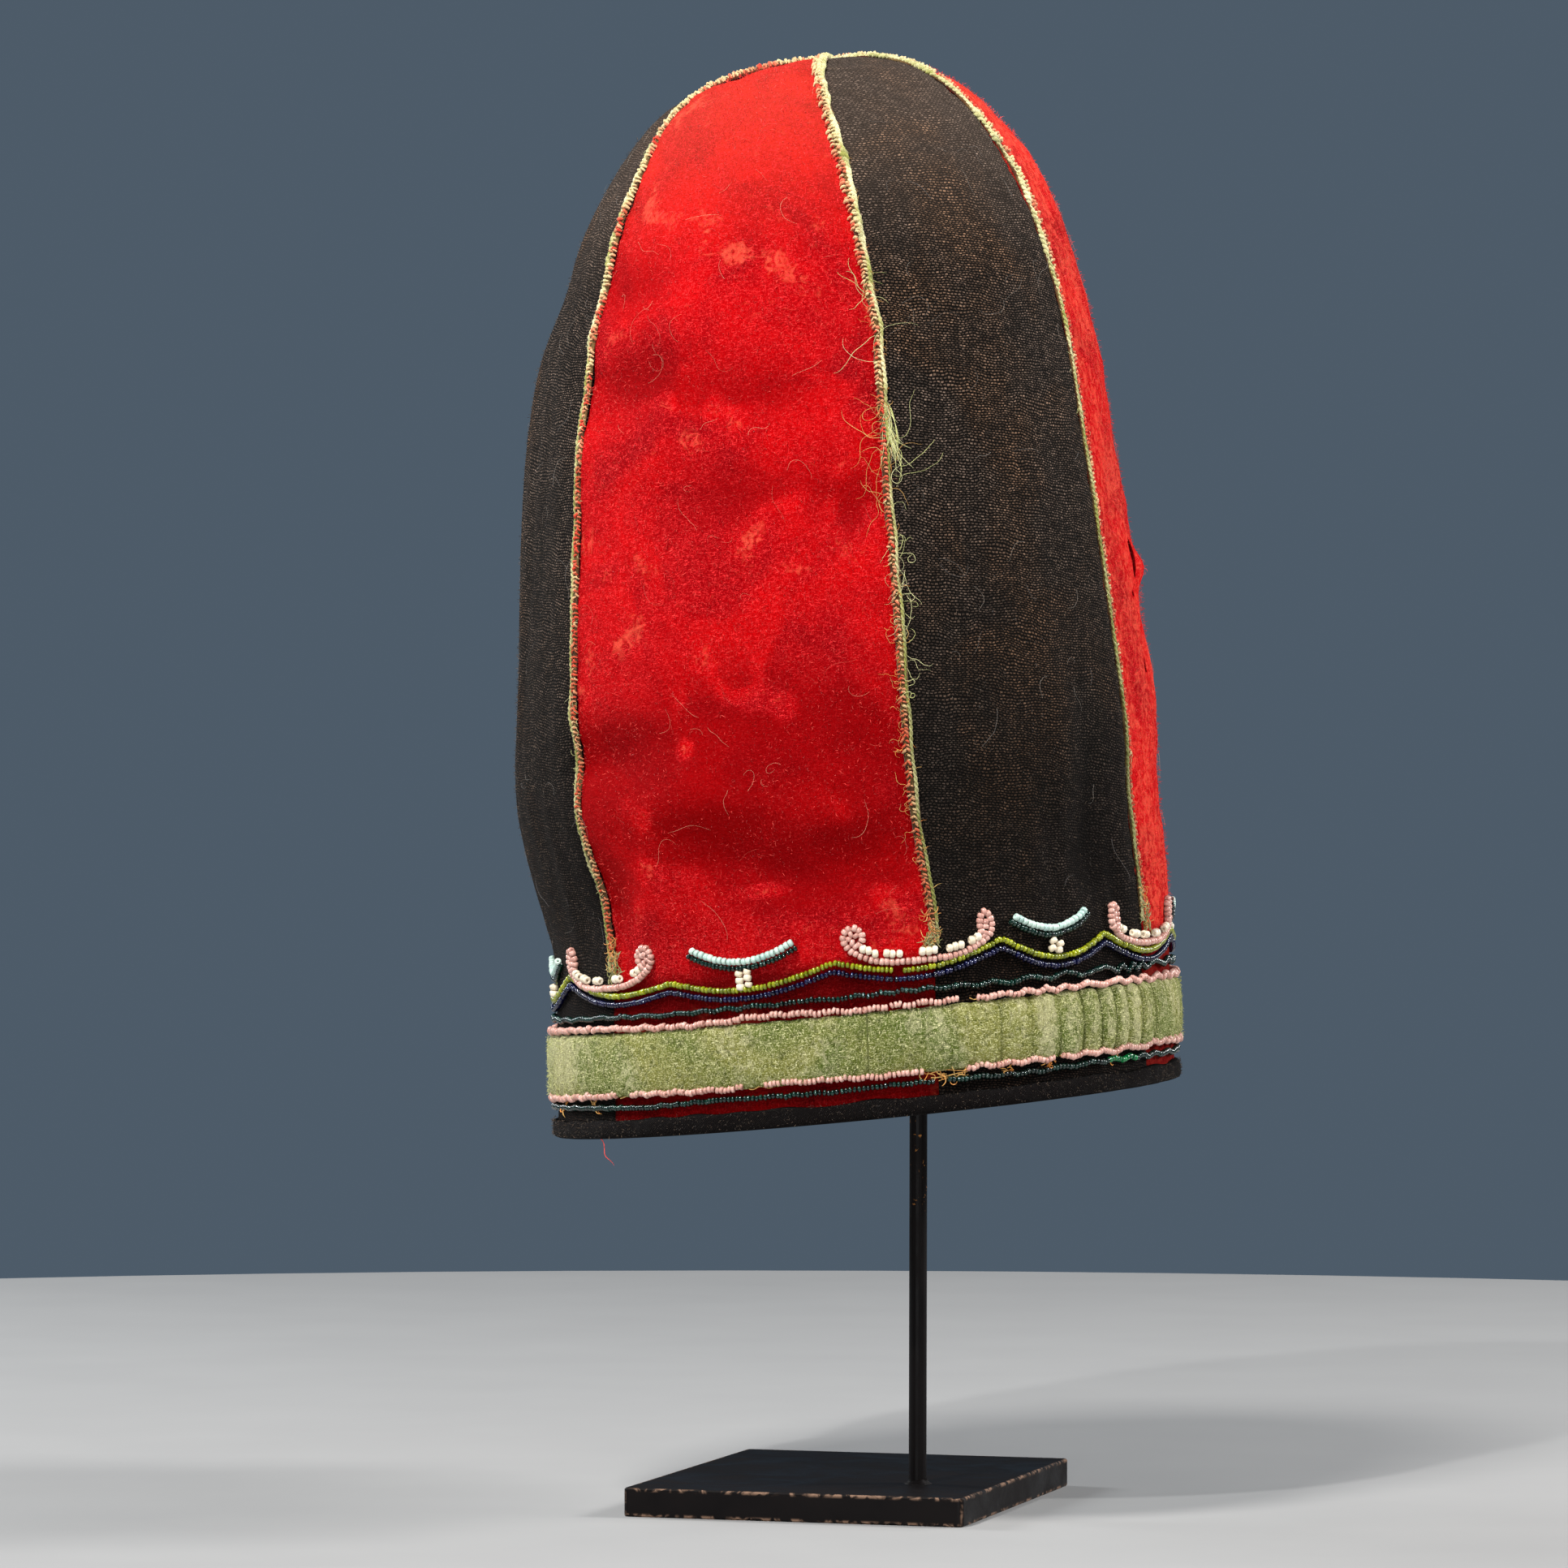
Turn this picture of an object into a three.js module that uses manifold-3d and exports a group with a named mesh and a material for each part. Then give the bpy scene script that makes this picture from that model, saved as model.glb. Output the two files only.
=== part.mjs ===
import * as THREE from 'three';
import { mergeVertices } from 'three/addons/utils/BufferGeometryUtils.js';
import Module from 'manifold-3d';

// A tall wool cap of six gores, with a green band and a bound rim, held up by a plain steel stand.
// Millimetres, +Z up. The origin is the centre of the base plate's underside on the surface it
// stands on, with X along the plate's front edge and Y along its depth.

// Sizes of the base plate
const plateWidth = 98;
const plateDepth = 123;
const plateThickness = 8;
const plateCornerRadius = 1.6;
const plateEdgeBevel = 0.4;

// Sizes of the post, a rod that carries a bent bar under the crown
const postDiameter = 5;
const postOffsetX = 26.3;
const postOffsetY = -24.8;
const postFloor = 2.5;
const postClearance = 0.3;
const bendLength = 110;
const archDiameter = 4;
const archClearance = 0.7;
const archReach = 0.34;

// Sizes of the cap, whose height and widths are those of the cloth's outer face
const capHeight = 299;
const capWidth = 183;
const capDepth = 194;
const clothThickness = 2;
const seamGap = 0.35;
const tipRadius = 1.3;
const panelPuff = 1.2;
const dentDepth = 4;

// Place of the cap: the centre of its rim, how far it is turned and how far it leans to its left
const rimOffset = 2.6;
const rimHeight = 112.8;
const capTurn = 16.1;
const capLean = 5.7;

// Sizes of the trim, from the rim upwards
const trimClearance = 0.3;
const bindingHeight = 5.2;
const bindingThickness = 1.2;
const bareStripHeight = 6.3;
const bandHeight = 17.5;
const bandThickness = 2;
const beadedClothHeight = 17;
const pipingWidth = 2.8;
const pipingThickness = 2;
const pipingCrownGap = 1;

// How finely the solids are faceted
const panelColumns = 8;
const panelRows = 26;
const rodSides = 10;
const postSteps = 20;
const archSteps = 18;
const holeSides = 10;

// Seams between the gores, in degrees round the cap from its front towards +X. Red gores follow
// the first, third and fifth seam, black gores the others.
const seamAngles = [-53, 12.3, 62.2, 129, 181.5, 246];

// Level sections from the rim to the crown. height is a share of the cap's height, centre and
// half are shares of half its width, and swing turns the seams towards -X near the crown.
const sections = [
  { height: 0.0, centre: 0.018, half: 0.968, swing: 0 },
  { height: 0.1, centre: 0.039, half: 0.961, swing: 0 },
  { height: 0.174, centre: 0.055, half: 0.964, swing: 0 },
  { height: 0.268, centre: 0.029, half: 0.985, swing: 0 },
  { height: 0.341, centre: 0.025, half: 1.0, swing: 0 },
  { height: 0.468, centre: 0.04, half: 0.966, swing: 0 },
  { height: 0.602, centre: 0.059, half: 0.922, swing: 0 },
  { height: 0.719, centre: 0.083, half: 0.868, swing: 0 },
  { height: 0.819, centre: 0.118, half: 0.775, swing: -0.06 },
  { height: 0.886, centre: 0.142, half: 0.672, swing: -0.11 },
  { height: 0.943, centre: 0.149, half: 0.54, swing: -0.15 },
  { height: 0.977, centre: 0.163, half: 0.39, swing: -0.17 },
  { height: 0.995, centre: 0.19, half: 0.205, swing: -0.18 },
  { height: 1.0, centre: 0.205, half: 0, swing: -0.18 },
];

// Dents of the cloth, with bulges as negative depths. angle and wide are degrees round the cap,
// height and tall are shares of its height, and depth is a share of dentDepth.
const dents = [
  { angle: -43, height: 0.786, wide: 13, tall: 0.035, depth: 0.5 },
  { angle: -36, height: 0.742, wide: 13, tall: 0.03, depth: -0.35 },
  { angle: -38, height: 0.697, wide: 14, tall: 0.035, depth: 0.65 },
  { angle: -12, height: 0.670, wide: 16, tall: 0.03, depth: 0.5 },
  { angle: -33, height: 0.638, wide: 18, tall: 0.035, depth: -0.4 },
  { angle: -15, height: 0.578, wide: 15, tall: 0.032, depth: 0.5 },
  { angle: 6, height: 0.562, wide: 9, tall: 0.035, depth: 0.5 },
  { angle: -45, height: 0.349, wide: 11, tall: 0.028, depth: 1 },
  { angle: 6, height: 0.338, wide: 8, tall: 0.045, depth: 0.5 },
  { angle: -30, height: 0.305, wide: 13, tall: 0.03, depth: -0.5 },
  { angle: -5, height: 0.280, wide: 8, tall: 0.03, depth: -0.45 },
  { angle: -23, height: 0.256, wide: 9, tall: 0.03, depth: 0.9 },
  { angle: -13, height: 0.224, wide: 9, tall: 0.03, depth: 0.8 },
  { angle: 3, height: 0.236, wide: 8, tall: 0.032, depth: 0.7 },
  { angle: -51, height: 0.227, wide: 7, tall: 0.04, depth: 0.5 },
  { angle: -26, height: 0.200, wide: 13, tall: 0.03, depth: -0.3 },
  { angle: -69, height: 0.566, wide: 5, tall: 0.16, depth: 0.35 },
  { angle: -92, height: 0.795, wide: 22, tall: 0.04, depth: 0.5 },
  { angle: -88, height: 0.424, wide: 6, tall: 0.14, depth: 0.4 },
  { angle: 46, height: 0.214, wide: 6, tall: 0.05, depth: 0.6 },
  { angle: 57, height: 0.485, wide: 4, tall: 0.18, depth: -0.2 },
  { angle: 100, height: 0.303, wide: 14, tall: 0.05, depth: 0.5 },
  { angle: 118, height: 0.626, wide: 14, tall: 0.06, depth: 0.4 },
  { angle: 158, height: 0.424, wide: 12, tall: 0.05, depth: 0.6 },
  { angle: 205, height: 0.273, wide: 14, tall: 0.04, depth: 0.7 },
  { angle: 226, height: 0.606, wide: 15, tall: 0.045, depth: 0.5 },
];

// Moth holes through a gore. angle is degrees round the cap, height, wide and tall are shares of
// its height.
const mothHoles = [
  { angle: 79, height: 0.496, wide: 0.018, tall: 0.036 },
  { angle: 79, height: 0.392, wide: 0.007, tall: 0.014 },
  { angle: 76, height: 0.461, wide: 0.005, tall: 0.005 },
];

// Heights above the rim that follow from the sizes
const bandBottom = bindingHeight + bareStripHeight;
const bandTop = bandBottom + bandHeight;
const pipingBottom = bandTop + beadedClothHeight;
const clothBottom = bindingThickness + trimClearance;

const wasm = await Module();
wasm.setup();

// The profile of the cap as a curve of (half, centre, height) in shares, carried on past the
// crown to its mirror image so that it is level there.
function makeProfile() {
  const points = sections.map((row) => new THREE.Vector3(row.half, row.centre, row.height));
  const beforeCrown = sections[sections.length - 2];
  points.push(new THREE.Vector3(-beforeCrown.half, beforeCrown.centre, beforeCrown.height));
  return new THREE.CatmullRomCurve3(points, false, 'catmullrom', 0.5);
}

const profile = makeProfile();
const crownShare = (sections.length - 1) / sections.length;

// How far the seams are swung round at a place along the profile
function swingAt(along) {
  const place = THREE.MathUtils.clamp(along, 0, 1) * (sections.length - 1);
  const row = Math.min(Math.floor(place), sections.length - 2);
  return THREE.MathUtils.lerp(sections[row].swing, sections[row + 1].swing, place - row);
}

// A point of the smooth form, before its relief. along runs from 0 at the rim to 1 at the crown.
function smoothPoint(angle, along) {
  const { x: half, y: centre, z: height } = profile.getPoint(along * crownShare);
  const radians = THREE.MathUtils.degToRad(angle);
  const across = Math.sin(radians) + swingAt(along);
  const towards = Math.cos(radians);
  const length = Math.hypot(across, towards);
  return new THREE.Vector3(
    (capWidth / 2) * (centre + (half * across) / length),
    (-capDepth / 2) * ((half * towards) / length),
    capHeight * height,
  );
}

// The outward normal of the smooth form
function smoothNormal(angle, along) {
  const step = 0.004;
  const inside = Math.min(along, 1 - 2 * step);
  const round = smoothPoint(angle + 1, inside).sub(smoothPoint(angle - 1, inside));
  const up = smoothPoint(angle, inside + step).sub(smoothPoint(angle, Math.max(inside - step, 0)));
  const normal = round.cross(up).normalize();
  const level = THREE.MathUtils.smoothstep(along, 1 - 4 * step, 1);
  return normal.lerp(new THREE.Vector3(0, 0, 1), level).normalize();
}

// Degrees from one angle to another by the short way round
function turnBetween(from, to) {
  return THREE.MathUtils.euclideanModulo(to - from + 180, 360) - 180;
}

// The puff of the gores between their seams, with the dents and bulges
function relief(angle, heightShare) {
  const gore = seamAngles.findIndex((start, index) => {
    const turn = THREE.MathUtils.euclideanModulo(angle - start, 360);
    return turn < goreWidth(index);
  });
  const start = seamAngles[gore];
  const share = THREE.MathUtils.euclideanModulo(angle - start, 360) / goreWidth(gore);
  const fade = THREE.MathUtils.smoothstep(heightShare, 0.15, 0.3) * (1 - heightShare ** 4);
  let height = panelPuff * Math.sin(Math.PI * share) * fade;
  for (const dent of dents) {
    const sideways = turnBetween(dent.angle, angle) / dent.wide;
    const upwards = (heightShare - dent.height) / dent.tall;
    height -= dentDepth * dent.depth * Math.exp(-(sideways ** 2) - upwards ** 2);
  }
  return height;
}

// The angle that a gore takes up
function goreWidth(index) {
  const next = (index + 1) % seamAngles.length;
  return THREE.MathUtils.euclideanModulo(seamAngles[next] - seamAngles[index], 360);
}

// A point of the cloth's outer face, or at an offset outwards from it
function capPoint(angle, along, offset = 0) {
  const point = smoothPoint(angle, along);
  const raised = relief(angle, point.z / capHeight) + offset;
  return point.addScaledVector(smoothNormal(angle, along), raised);
}

// Where along the profile the form reaches a height in millimetres
function alongAtHeight(height) {
  return bisect((along) => smoothPoint(0, along).z < height);
}

// Where along the profile the form has narrowed to a radius in millimetres
function alongAtRadius(radius) {
  return bisect((along) => Math.abs(smoothPoint(0, along).y) > radius);
}

// The place from 0 to 1 up to which a test holds
function bisect(holds) {
  let low = 0;
  let high = 1;
  while (high - low > 1e-7) {
    const middle = (low + high) / 2;
    if (holds(middle)) low = middle;
    else high = middle;
  }
  return low;
}

// A closed solid through sections of as many points each. Its ends are capped by joining each
// point with its opposite number in the section, or the last section meets the first.
function sweepSolid(loops, isRing) {
  const count = loops[0].length;
  const positions = loops.flat().flatMap((point) => point.toArray());
  const triangles = [];
  const quad = (a, b, c, d) => triangles.push(a, b, c, a, c, d);
  const strips = isRing ? loops.length : loops.length - 1;
  for (let loop = 0; loop < strips; loop += 1) {
    const here = loop * count;
    const there = ((loop + 1) % loops.length) * count;
    for (let side = 0; side < count; side += 1) {
      const next = (side + 1) % count;
      quad(here + side, here + next, there + next, there + side);
    }
  }
  if (!isRing) {
    const last = (loops.length - 1) * count;
    for (let side = 0; side < count / 2 - 1; side += 1) {
      const other = count - 1 - side;
      quad(side, other, other - 1, side + 1);
      quad(last + side, last + side + 1, last + other - 1, last + other);
    }
  }
  const geometry = new THREE.BufferGeometry();
  geometry.setAttribute('position', new THREE.Float32BufferAttribute(positions, 3));
  geometry.setIndex(enclosedVolume(positions, triangles) < 0 ? triangles.reverse() : triangles);
  geometry.computeVertexNormals();
  return geometry;
}

// Six times the volume inside a closed list of triangles, negative where they face inwards
function enclosedVolume(positions, triangles) {
  const corner = (index) => new THREE.Vector3().fromArray(positions, index * 3);
  let volume = 0;
  for (let first = 0; first < triangles.length; first += 3) {
    const [a, b, c] = triangles.slice(first, first + 3).map(corner);
    volume += a.dot(b.cross(c));
  }
  return volume;
}

// A closed geometry as a solid for cutting and joining
function toSolid(geometry) {
  const bare = geometry.clone();
  bare.deleteAttribute('normal');
  bare.deleteAttribute('uv');
  const merged = mergeVertices(bare, 1e-4);
  return new wasm.Manifold(new wasm.Mesh({
    numProp: 3,
    vertProperties: new Float32Array(merged.attributes.position.array),
    triVerts: new Uint32Array(merged.index.array),
  }));
}

// A cut or joined solid as a geometry
function toGeometry(solid) {
  const mesh = solid.getMesh();
  const geometry = new THREE.BufferGeometry();
  geometry.setAttribute('position', new THREE.BufferAttribute(mesh.vertProperties, 3));
  geometry.setIndex(new THREE.BufferAttribute(mesh.triVerts, 1));
  geometry.computeVertexNormals();
  return geometry;
}

// A tube of a round bar along a curve
function barAlong(curve, diameter, steps) {
  const outline = new THREE.Shape();
  outline.absarc(0, 0, diameter / 2, 0, 2 * Math.PI);
  const options = { steps, curveSegments: rodSides, extrudePath: curve, bevelEnabled: false };
  return new THREE.ExtrudeGeometry(outline, options);
}

// Base plate with a blind hole for the post
function basePlateGeometry() {
  const x = plateWidth / 2 - plateCornerRadius;
  const y = plateDepth / 2 - plateCornerRadius;
  const outline = new THREE.Shape();
  outline.absarc(x, y, plateCornerRadius, 0, Math.PI / 2);
  outline.absarc(-x, y, plateCornerRadius, Math.PI / 2, Math.PI);
  outline.absarc(-x, -y, plateCornerRadius, Math.PI, 1.5 * Math.PI);
  outline.absarc(x, -y, plateCornerRadius, 1.5 * Math.PI, 2 * Math.PI);
  const plate = new THREE.ExtrudeGeometry(outline, {
    depth: plateThickness - 2 * plateEdgeBevel,
    curveSegments: 4,
    bevelThickness: plateEdgeBevel,
    bevelSize: plateEdgeBevel,
    bevelOffset: -plateEdgeBevel,
    bevelSegments: 1,
  });
  plate.translate(0, 0, plateEdgeBevel);
  const holeRadius = postDiameter / 2 + postClearance;
  const hole = new THREE.CylinderGeometry(holeRadius, holeRadius, plateThickness, 2 * rodSides);
  hole.rotateX(Math.PI / 2);
  const holeFloor = postFloor - postClearance;
  hole.translate(postOffsetX, postOffsetY, holeFloor + plateThickness / 2);
  return toGeometry(toSolid(plate).subtract(toSolid(hole)));
}

// The line of the arch bar under the crown, from one side of the cap to the other
function archCurve(capToPart) {
  const depth = clothThickness + archClearance + archDiameter / 2;
  const front = (seamAngles[1] + seamAngles[2]) / 2;
  const steps = 5;
  const points = [];
  for (let step = -steps; step <= steps; step += 1) {
    const angle = step < 0 ? front : front + 180;
    const along = 1 - archReach * (Math.abs(step) / steps);
    points.push(capPoint(angle, along, -depth).applyMatrix4(capToPart));
  }
  return new THREE.CatmullRomCurve3(points);
}

// The line of the post: straight up from its hole, then over to the middle of the arch
function postCurve(archMiddle) {
  const foot = new THREE.Vector3(postOffsetX, postOffsetY, postFloor);
  const bend = new THREE.Vector3(postOffsetX, postOffsetY, archMiddle.z - bendLength);
  const pull = new THREE.Vector3(0, 0, bendLength / 2);
  const line = new THREE.CurvePath();
  line.add(new THREE.LineCurve3(foot, bend));
  line.add(new THREE.CubicBezierCurve3(
    bend,
    bend.clone().add(pull),
    archMiddle.clone().sub(pull),
    archMiddle,
  ));
  return line;
}

// Post and arch, welded into one solid
function standPostGeometry(capToPart) {
  const arch = archCurve(capToPart);
  const post = postCurve(arch.getPoint(0.5));
  const archBar = toSolid(barAlong(arch, archDiameter, archSteps));
  const postBar = toSolid(barAlong(post, postDiameter, postSteps));
  return toGeometry(postBar.add(archBar));
}

// One gore of cloth between two seams, with any moth holes that fall on it. Its edges stay half
// of the seam's gap away from the seams.
function panelGeometry(index) {
  const start = seamAngles[index];
  const width = goreWidth(index);
  const loops = panelPlaces().map((along) => {
    const radius = Math.abs(smoothPoint(0, along).y);
    const edge = THREE.MathUtils.radToDeg(seamGap / 2 / radius);
    const angles = [];
    for (let column = 0; column <= panelColumns; column += 1) {
      angles.push(start + edge + (width - 2 * edge) * (column / panelColumns));
    }
    const outer = angles.map((angle) => capPoint(angle, along));
    const inner = angles.map((angle) => capPoint(angle, along, -clothThickness));
    return [...outer, ...inner.reverse()];
  });
  const panel = sweepSolid(loops, false);
  const holes = mothHoles.filter((hole) => {
    return THREE.MathUtils.euclideanModulo(hole.angle - start, 360) < width;
  });
  if (holes.length === 0) return panel;
  return toGeometry(holes.reduce((cloth, hole) => cloth.subtract(mothHoleSolid(hole)), toSolid(panel)));
}

// Places of the rows of a gore, from inside the binding up to its tip
function panelPlaces() {
  const bottom = alongAtHeight(clothBottom);
  const top = alongAtRadius(tipRadius);
  const places = [];
  for (let row = 0; row <= panelRows; row += 1) {
    places.push(bottom + (top - bottom) * (row / panelRows));
  }
  return places;
}

// The cutter of a moth hole, an oval plug through the cloth
function mothHoleSolid(hole) {
  const along = alongAtHeight(hole.height * capHeight);
  const plug = new THREE.CylinderGeometry(1, 1, 6 * clothThickness, holeSides);
  plug.rotateX(Math.PI / 2);
  plug.scale((hole.wide * capHeight) / 2, (hole.tall * capHeight) / 2, 1);
  const facing = new THREE.Matrix4().lookAt(
    smoothNormal(hole.angle, along),
    new THREE.Vector3(),
    new THREE.Vector3(0, 0, 1),
  );
  plug.applyMatrix4(facing);
  plug.translate(...capPoint(hole.angle, along).toArray());
  return toSolid(plug);
}

// The cord over a seam, flat underneath, from the beaded border to where the cords meet
function pipingGeometry(angle) {
  const bottom = alongAtHeight(pipingBottom);
  const narrowest = Math.min(...seamAngles.map((_, index) => goreWidth(index)));
  const halfNarrowest = THREE.MathUtils.degToRad(narrowest / 2);
  const meetingRadius = (pipingWidth / 2 + trimClearance) / Math.sin(halfNarrowest);
  const top = alongAtRadius(meetingRadius + pipingCrownGap);
  const between = panelPlaces().filter((along) => along > bottom + 0.01 && along < top - 0.01);
  const base = pipingWidth * 0.4;
  const outline = [
    [-base, 0],
    [-pipingWidth / 2, pipingThickness / 2],
    [-base / 2, pipingThickness],
    [base / 2, pipingThickness],
    [pipingWidth / 2, pipingThickness / 2],
    [base, 0],
  ];
  const loops = [bottom, ...between, top].map((along) => {
    const middle = capPoint(angle, along, trimClearance);
    const outwards = smoothNormal(angle, along);
    const sideways = smoothPoint(angle + 1, along).sub(smoothPoint(angle - 1, along)).normalize();
    return outline.map(([across, raised]) => {
      return middle.clone().addScaledVector(sideways, across).addScaledVector(outwards, raised);
    });
  });
  return sweepSolid(loops, false);
}

// A ring round the cap whose section is a list of heights above the rim and offsets from the
// cloth's outer face
function ringGeometry(outline) {
  const places = outline.map(([height, offset]) => [alongAtHeight(height), offset]);
  const loops = seamAngles.flatMap((start, index) => {
    const step = goreWidth(index) / panelColumns;
    return Array.from({ length: panelColumns }, (_, column) => {
      return places.map(([along, offset]) => capPoint(start + step * column, along, offset));
    });
  });
  return sweepSolid(loops, true);
}

// The green band, rounded off at its edges
function greenBandGeometry() {
  const edge = bandThickness * 0.4;
  const inner = trimClearance;
  const outer = trimClearance + bandThickness;
  return ringGeometry([
    [bandBottom, inner],
    [bandBottom, inner + edge],
    [bandBottom + bandThickness, outer],
    [bandTop - bandThickness, outer],
    [bandTop, inner + edge],
    [bandTop, inner],
  ]);
}

// The tape folded round the lower edge of the cloth
function rimBindingGeometry() {
  const outer = trimClearance + bindingThickness;
  const inner = -clothThickness - trimClearance - bindingThickness;
  const fold = bindingThickness * 0.5;
  return ringGeometry([
    [bindingHeight, outer],
    [fold, outer],
    [0, outer - fold],
    [0, inner + fold],
    [fold, inner],
    [bindingHeight, inner],
    [bindingHeight, inner + bindingThickness],
    [bindingThickness, inner + bindingThickness],
    [bindingThickness, trimClearance],
    [bindingHeight, trimClearance],
  ]);
}

// Materials
const lacqueredSteel = new THREE.MeshStandardMaterial({ color: '#12100f', roughness: 0.4, metalness: 0.6 });
const redWool = new THREE.MeshStandardMaterial({ color: '#c4120f', roughness: 0.95, metalness: 0 });
const blackWool = new THREE.MeshStandardMaterial({ color: '#2b2826', roughness: 0.95, metalness: 0 });
const yellowGreenCord = new THREE.MeshStandardMaterial({ color: '#b0a552', roughness: 0.85, metalness: 0 });
const greenWool = new THREE.MeshStandardMaterial({ color: '#7d9440', roughness: 0.95, metalness: 0 });
const darkTape = new THREE.MeshStandardMaterial({ color: '#1d1b1b', roughness: 0.85, metalness: 0 });

function namedMesh(name, geometry, material) {
  const mesh = new THREE.Mesh(geometry, material);
  mesh.name = name;
  return mesh;
}

// The cap, in a group that stands on its rim, inside one that turns it
const capLeaning = new THREE.Group();
capLeaning.position.set(rimOffset, 0, rimHeight);
capLeaning.rotation.y = -THREE.MathUtils.degToRad(capLean);
const capTurned = new THREE.Group();
capTurned.rotation.z = THREE.MathUtils.degToRad(capTurn);
capTurned.add(capLeaning);
capTurned.updateMatrixWorld(true);

seamAngles.forEach((angle, index) => {
  const isRed = index % 2 === 0;
  const number = Math.floor(index / 2) + 1;
  const name = `crown_panel_${isRed ? 'red' : 'black'}_${number}`;
  capLeaning.add(namedMesh(name, panelGeometry(index), isRed ? redWool : blackWool));
  capLeaning.add(namedMesh(`seam_piping_${index + 1}`, pipingGeometry(angle), yellowGreenCord));
});
capLeaning.add(namedMesh('green_band', greenBandGeometry(), greenWool));
capLeaning.add(namedMesh('rim_binding', rimBindingGeometry(), darkTape));

const beadedCapOnStand = new THREE.Group();
beadedCapOnStand.add(namedMesh('base_plate', basePlateGeometry(), lacqueredSteel));
const capToPart = capLeaning.matrixWorld;
beadedCapOnStand.add(namedMesh('stand_post', standPostGeometry(capToPart), lacqueredSteel));
beadedCapOnStand.add(capTurned);

export default beadedCapOnStand;
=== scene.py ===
"""A tall wool cap of six gores with a beaded border, dressed on its plain steel stand.

Forms are worked out in millimetres in the cap's own frame, which stands on its rim with its front
towards -Y, and are turned, leaned and scaled to metres as each piece is made. Angles are in degrees
round the cap, from 0 at the front and rising to the right.
"""

import math

import bpy
import numpy as np
from mathutils import Matrix, Vector


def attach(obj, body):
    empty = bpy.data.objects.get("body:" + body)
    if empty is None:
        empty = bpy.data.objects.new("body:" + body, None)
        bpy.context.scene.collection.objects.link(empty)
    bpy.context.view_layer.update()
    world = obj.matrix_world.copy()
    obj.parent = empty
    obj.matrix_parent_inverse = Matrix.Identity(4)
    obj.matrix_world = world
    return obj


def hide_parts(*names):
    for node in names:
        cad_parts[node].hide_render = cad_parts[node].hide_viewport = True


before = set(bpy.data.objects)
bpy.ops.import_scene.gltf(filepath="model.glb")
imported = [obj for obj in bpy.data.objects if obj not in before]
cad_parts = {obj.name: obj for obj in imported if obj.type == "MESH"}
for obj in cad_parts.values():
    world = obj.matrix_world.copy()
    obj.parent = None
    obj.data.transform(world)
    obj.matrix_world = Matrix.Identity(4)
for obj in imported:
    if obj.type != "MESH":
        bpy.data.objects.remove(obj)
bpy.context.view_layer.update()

# Sizes of the cap, as in its solids
CAP_HEIGHT = 299
CAP_WIDTH = 183
CAP_DEPTH = 194
CLOTH_THICKNESS = 2
PANEL_PUFF = 1.2
DENT_DEPTH = 4
RIM_OFFSET = 2.6
RIM_HEIGHT = 112.8
CAP_TURN = math.radians(16.1)
CAP_LEAN = math.radians(5.7)
SEAM_ANGLES = [-53, 12.3, 62.2, 129, 181.5, 246]
BINDING_HEIGHT = 5.2
BINDING_THICKNESS = 1.2
BAND_BOTTOM = 11.5
BAND_TOP = 29
BAND_THICKNESS = 2
TRIM_CLEARANCE = 0.3
PIPING_BOTTOM = 46

# Sizes of the stand, as in its solids
POST_X = 26.3
POST_Y = -24.8
POST_RADIUS = 2.5
PLATE_THICKNESS = 8

# Level sections: height, centre, half width and swing of the seams, all as shares
SECTIONS = np.array([
    (0.0, 0.018, 0.968, 0),
    (0.1, 0.039, 0.961, 0),
    (0.174, 0.055, 0.964, 0),
    (0.268, 0.029, 0.985, 0),
    (0.341, 0.025, 1.0, 0),
    (0.468, 0.04, 0.966, 0),
    (0.602, 0.059, 0.922, 0),
    (0.719, 0.083, 0.868, 0),
    (0.819, 0.118, 0.775, -0.06),
    (0.886, 0.142, 0.672, -0.11),
    (0.943, 0.149, 0.54, -0.15),
    (0.977, 0.163, 0.39, -0.17),
    (0.995, 0.19, 0.205, -0.18),
    (1.0, 0.205, 0, -0.18),
])

# Dents of the cloth: angle, height, width in degrees, height span and depth
DENTS = [
    (-43, 0.786, 13, 0.035, 0.5),
    (-36, 0.742, 13, 0.03, -0.35),
    (-38, 0.697, 14, 0.035, 0.65),
    (-12, 0.670, 16, 0.03, 0.5),
    (-33, 0.638, 18, 0.035, -0.4),
    (-15, 0.578, 15, 0.032, 0.5),
    (6, 0.562, 9, 0.035, 0.5),
    (-45, 0.349, 11, 0.028, 1),
    (6, 0.338, 8, 0.045, 0.5),
    (-30, 0.305, 13, 0.03, -0.5),
    (-5, 0.280, 8, 0.03, -0.45),
    (-23, 0.256, 9, 0.03, 0.9),
    (-13, 0.224, 9, 0.03, 0.8),
    (3, 0.236, 8, 0.032, 0.7),
    (-51, 0.227, 7, 0.04, 0.5),
    (-26, 0.200, 13, 0.03, -0.3),
    (-69, 0.566, 5, 0.16, 0.35),
    (-92, 0.795, 22, 0.04, 0.5),
    (-88, 0.424, 6, 0.14, 0.4),
    (46, 0.214, 6, 0.05, 0.6),
    (57, 0.485, 4, 0.18, -0.2),
    (100, 0.303, 14, 0.05, 0.5),
    (118, 0.626, 14, 0.06, 0.4),
    (158, 0.424, 12, 0.05, 0.6),
    (205, 0.273, 14, 0.04, 0.7),
    (226, 0.606, 15, 0.045, 0.5),
]

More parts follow.
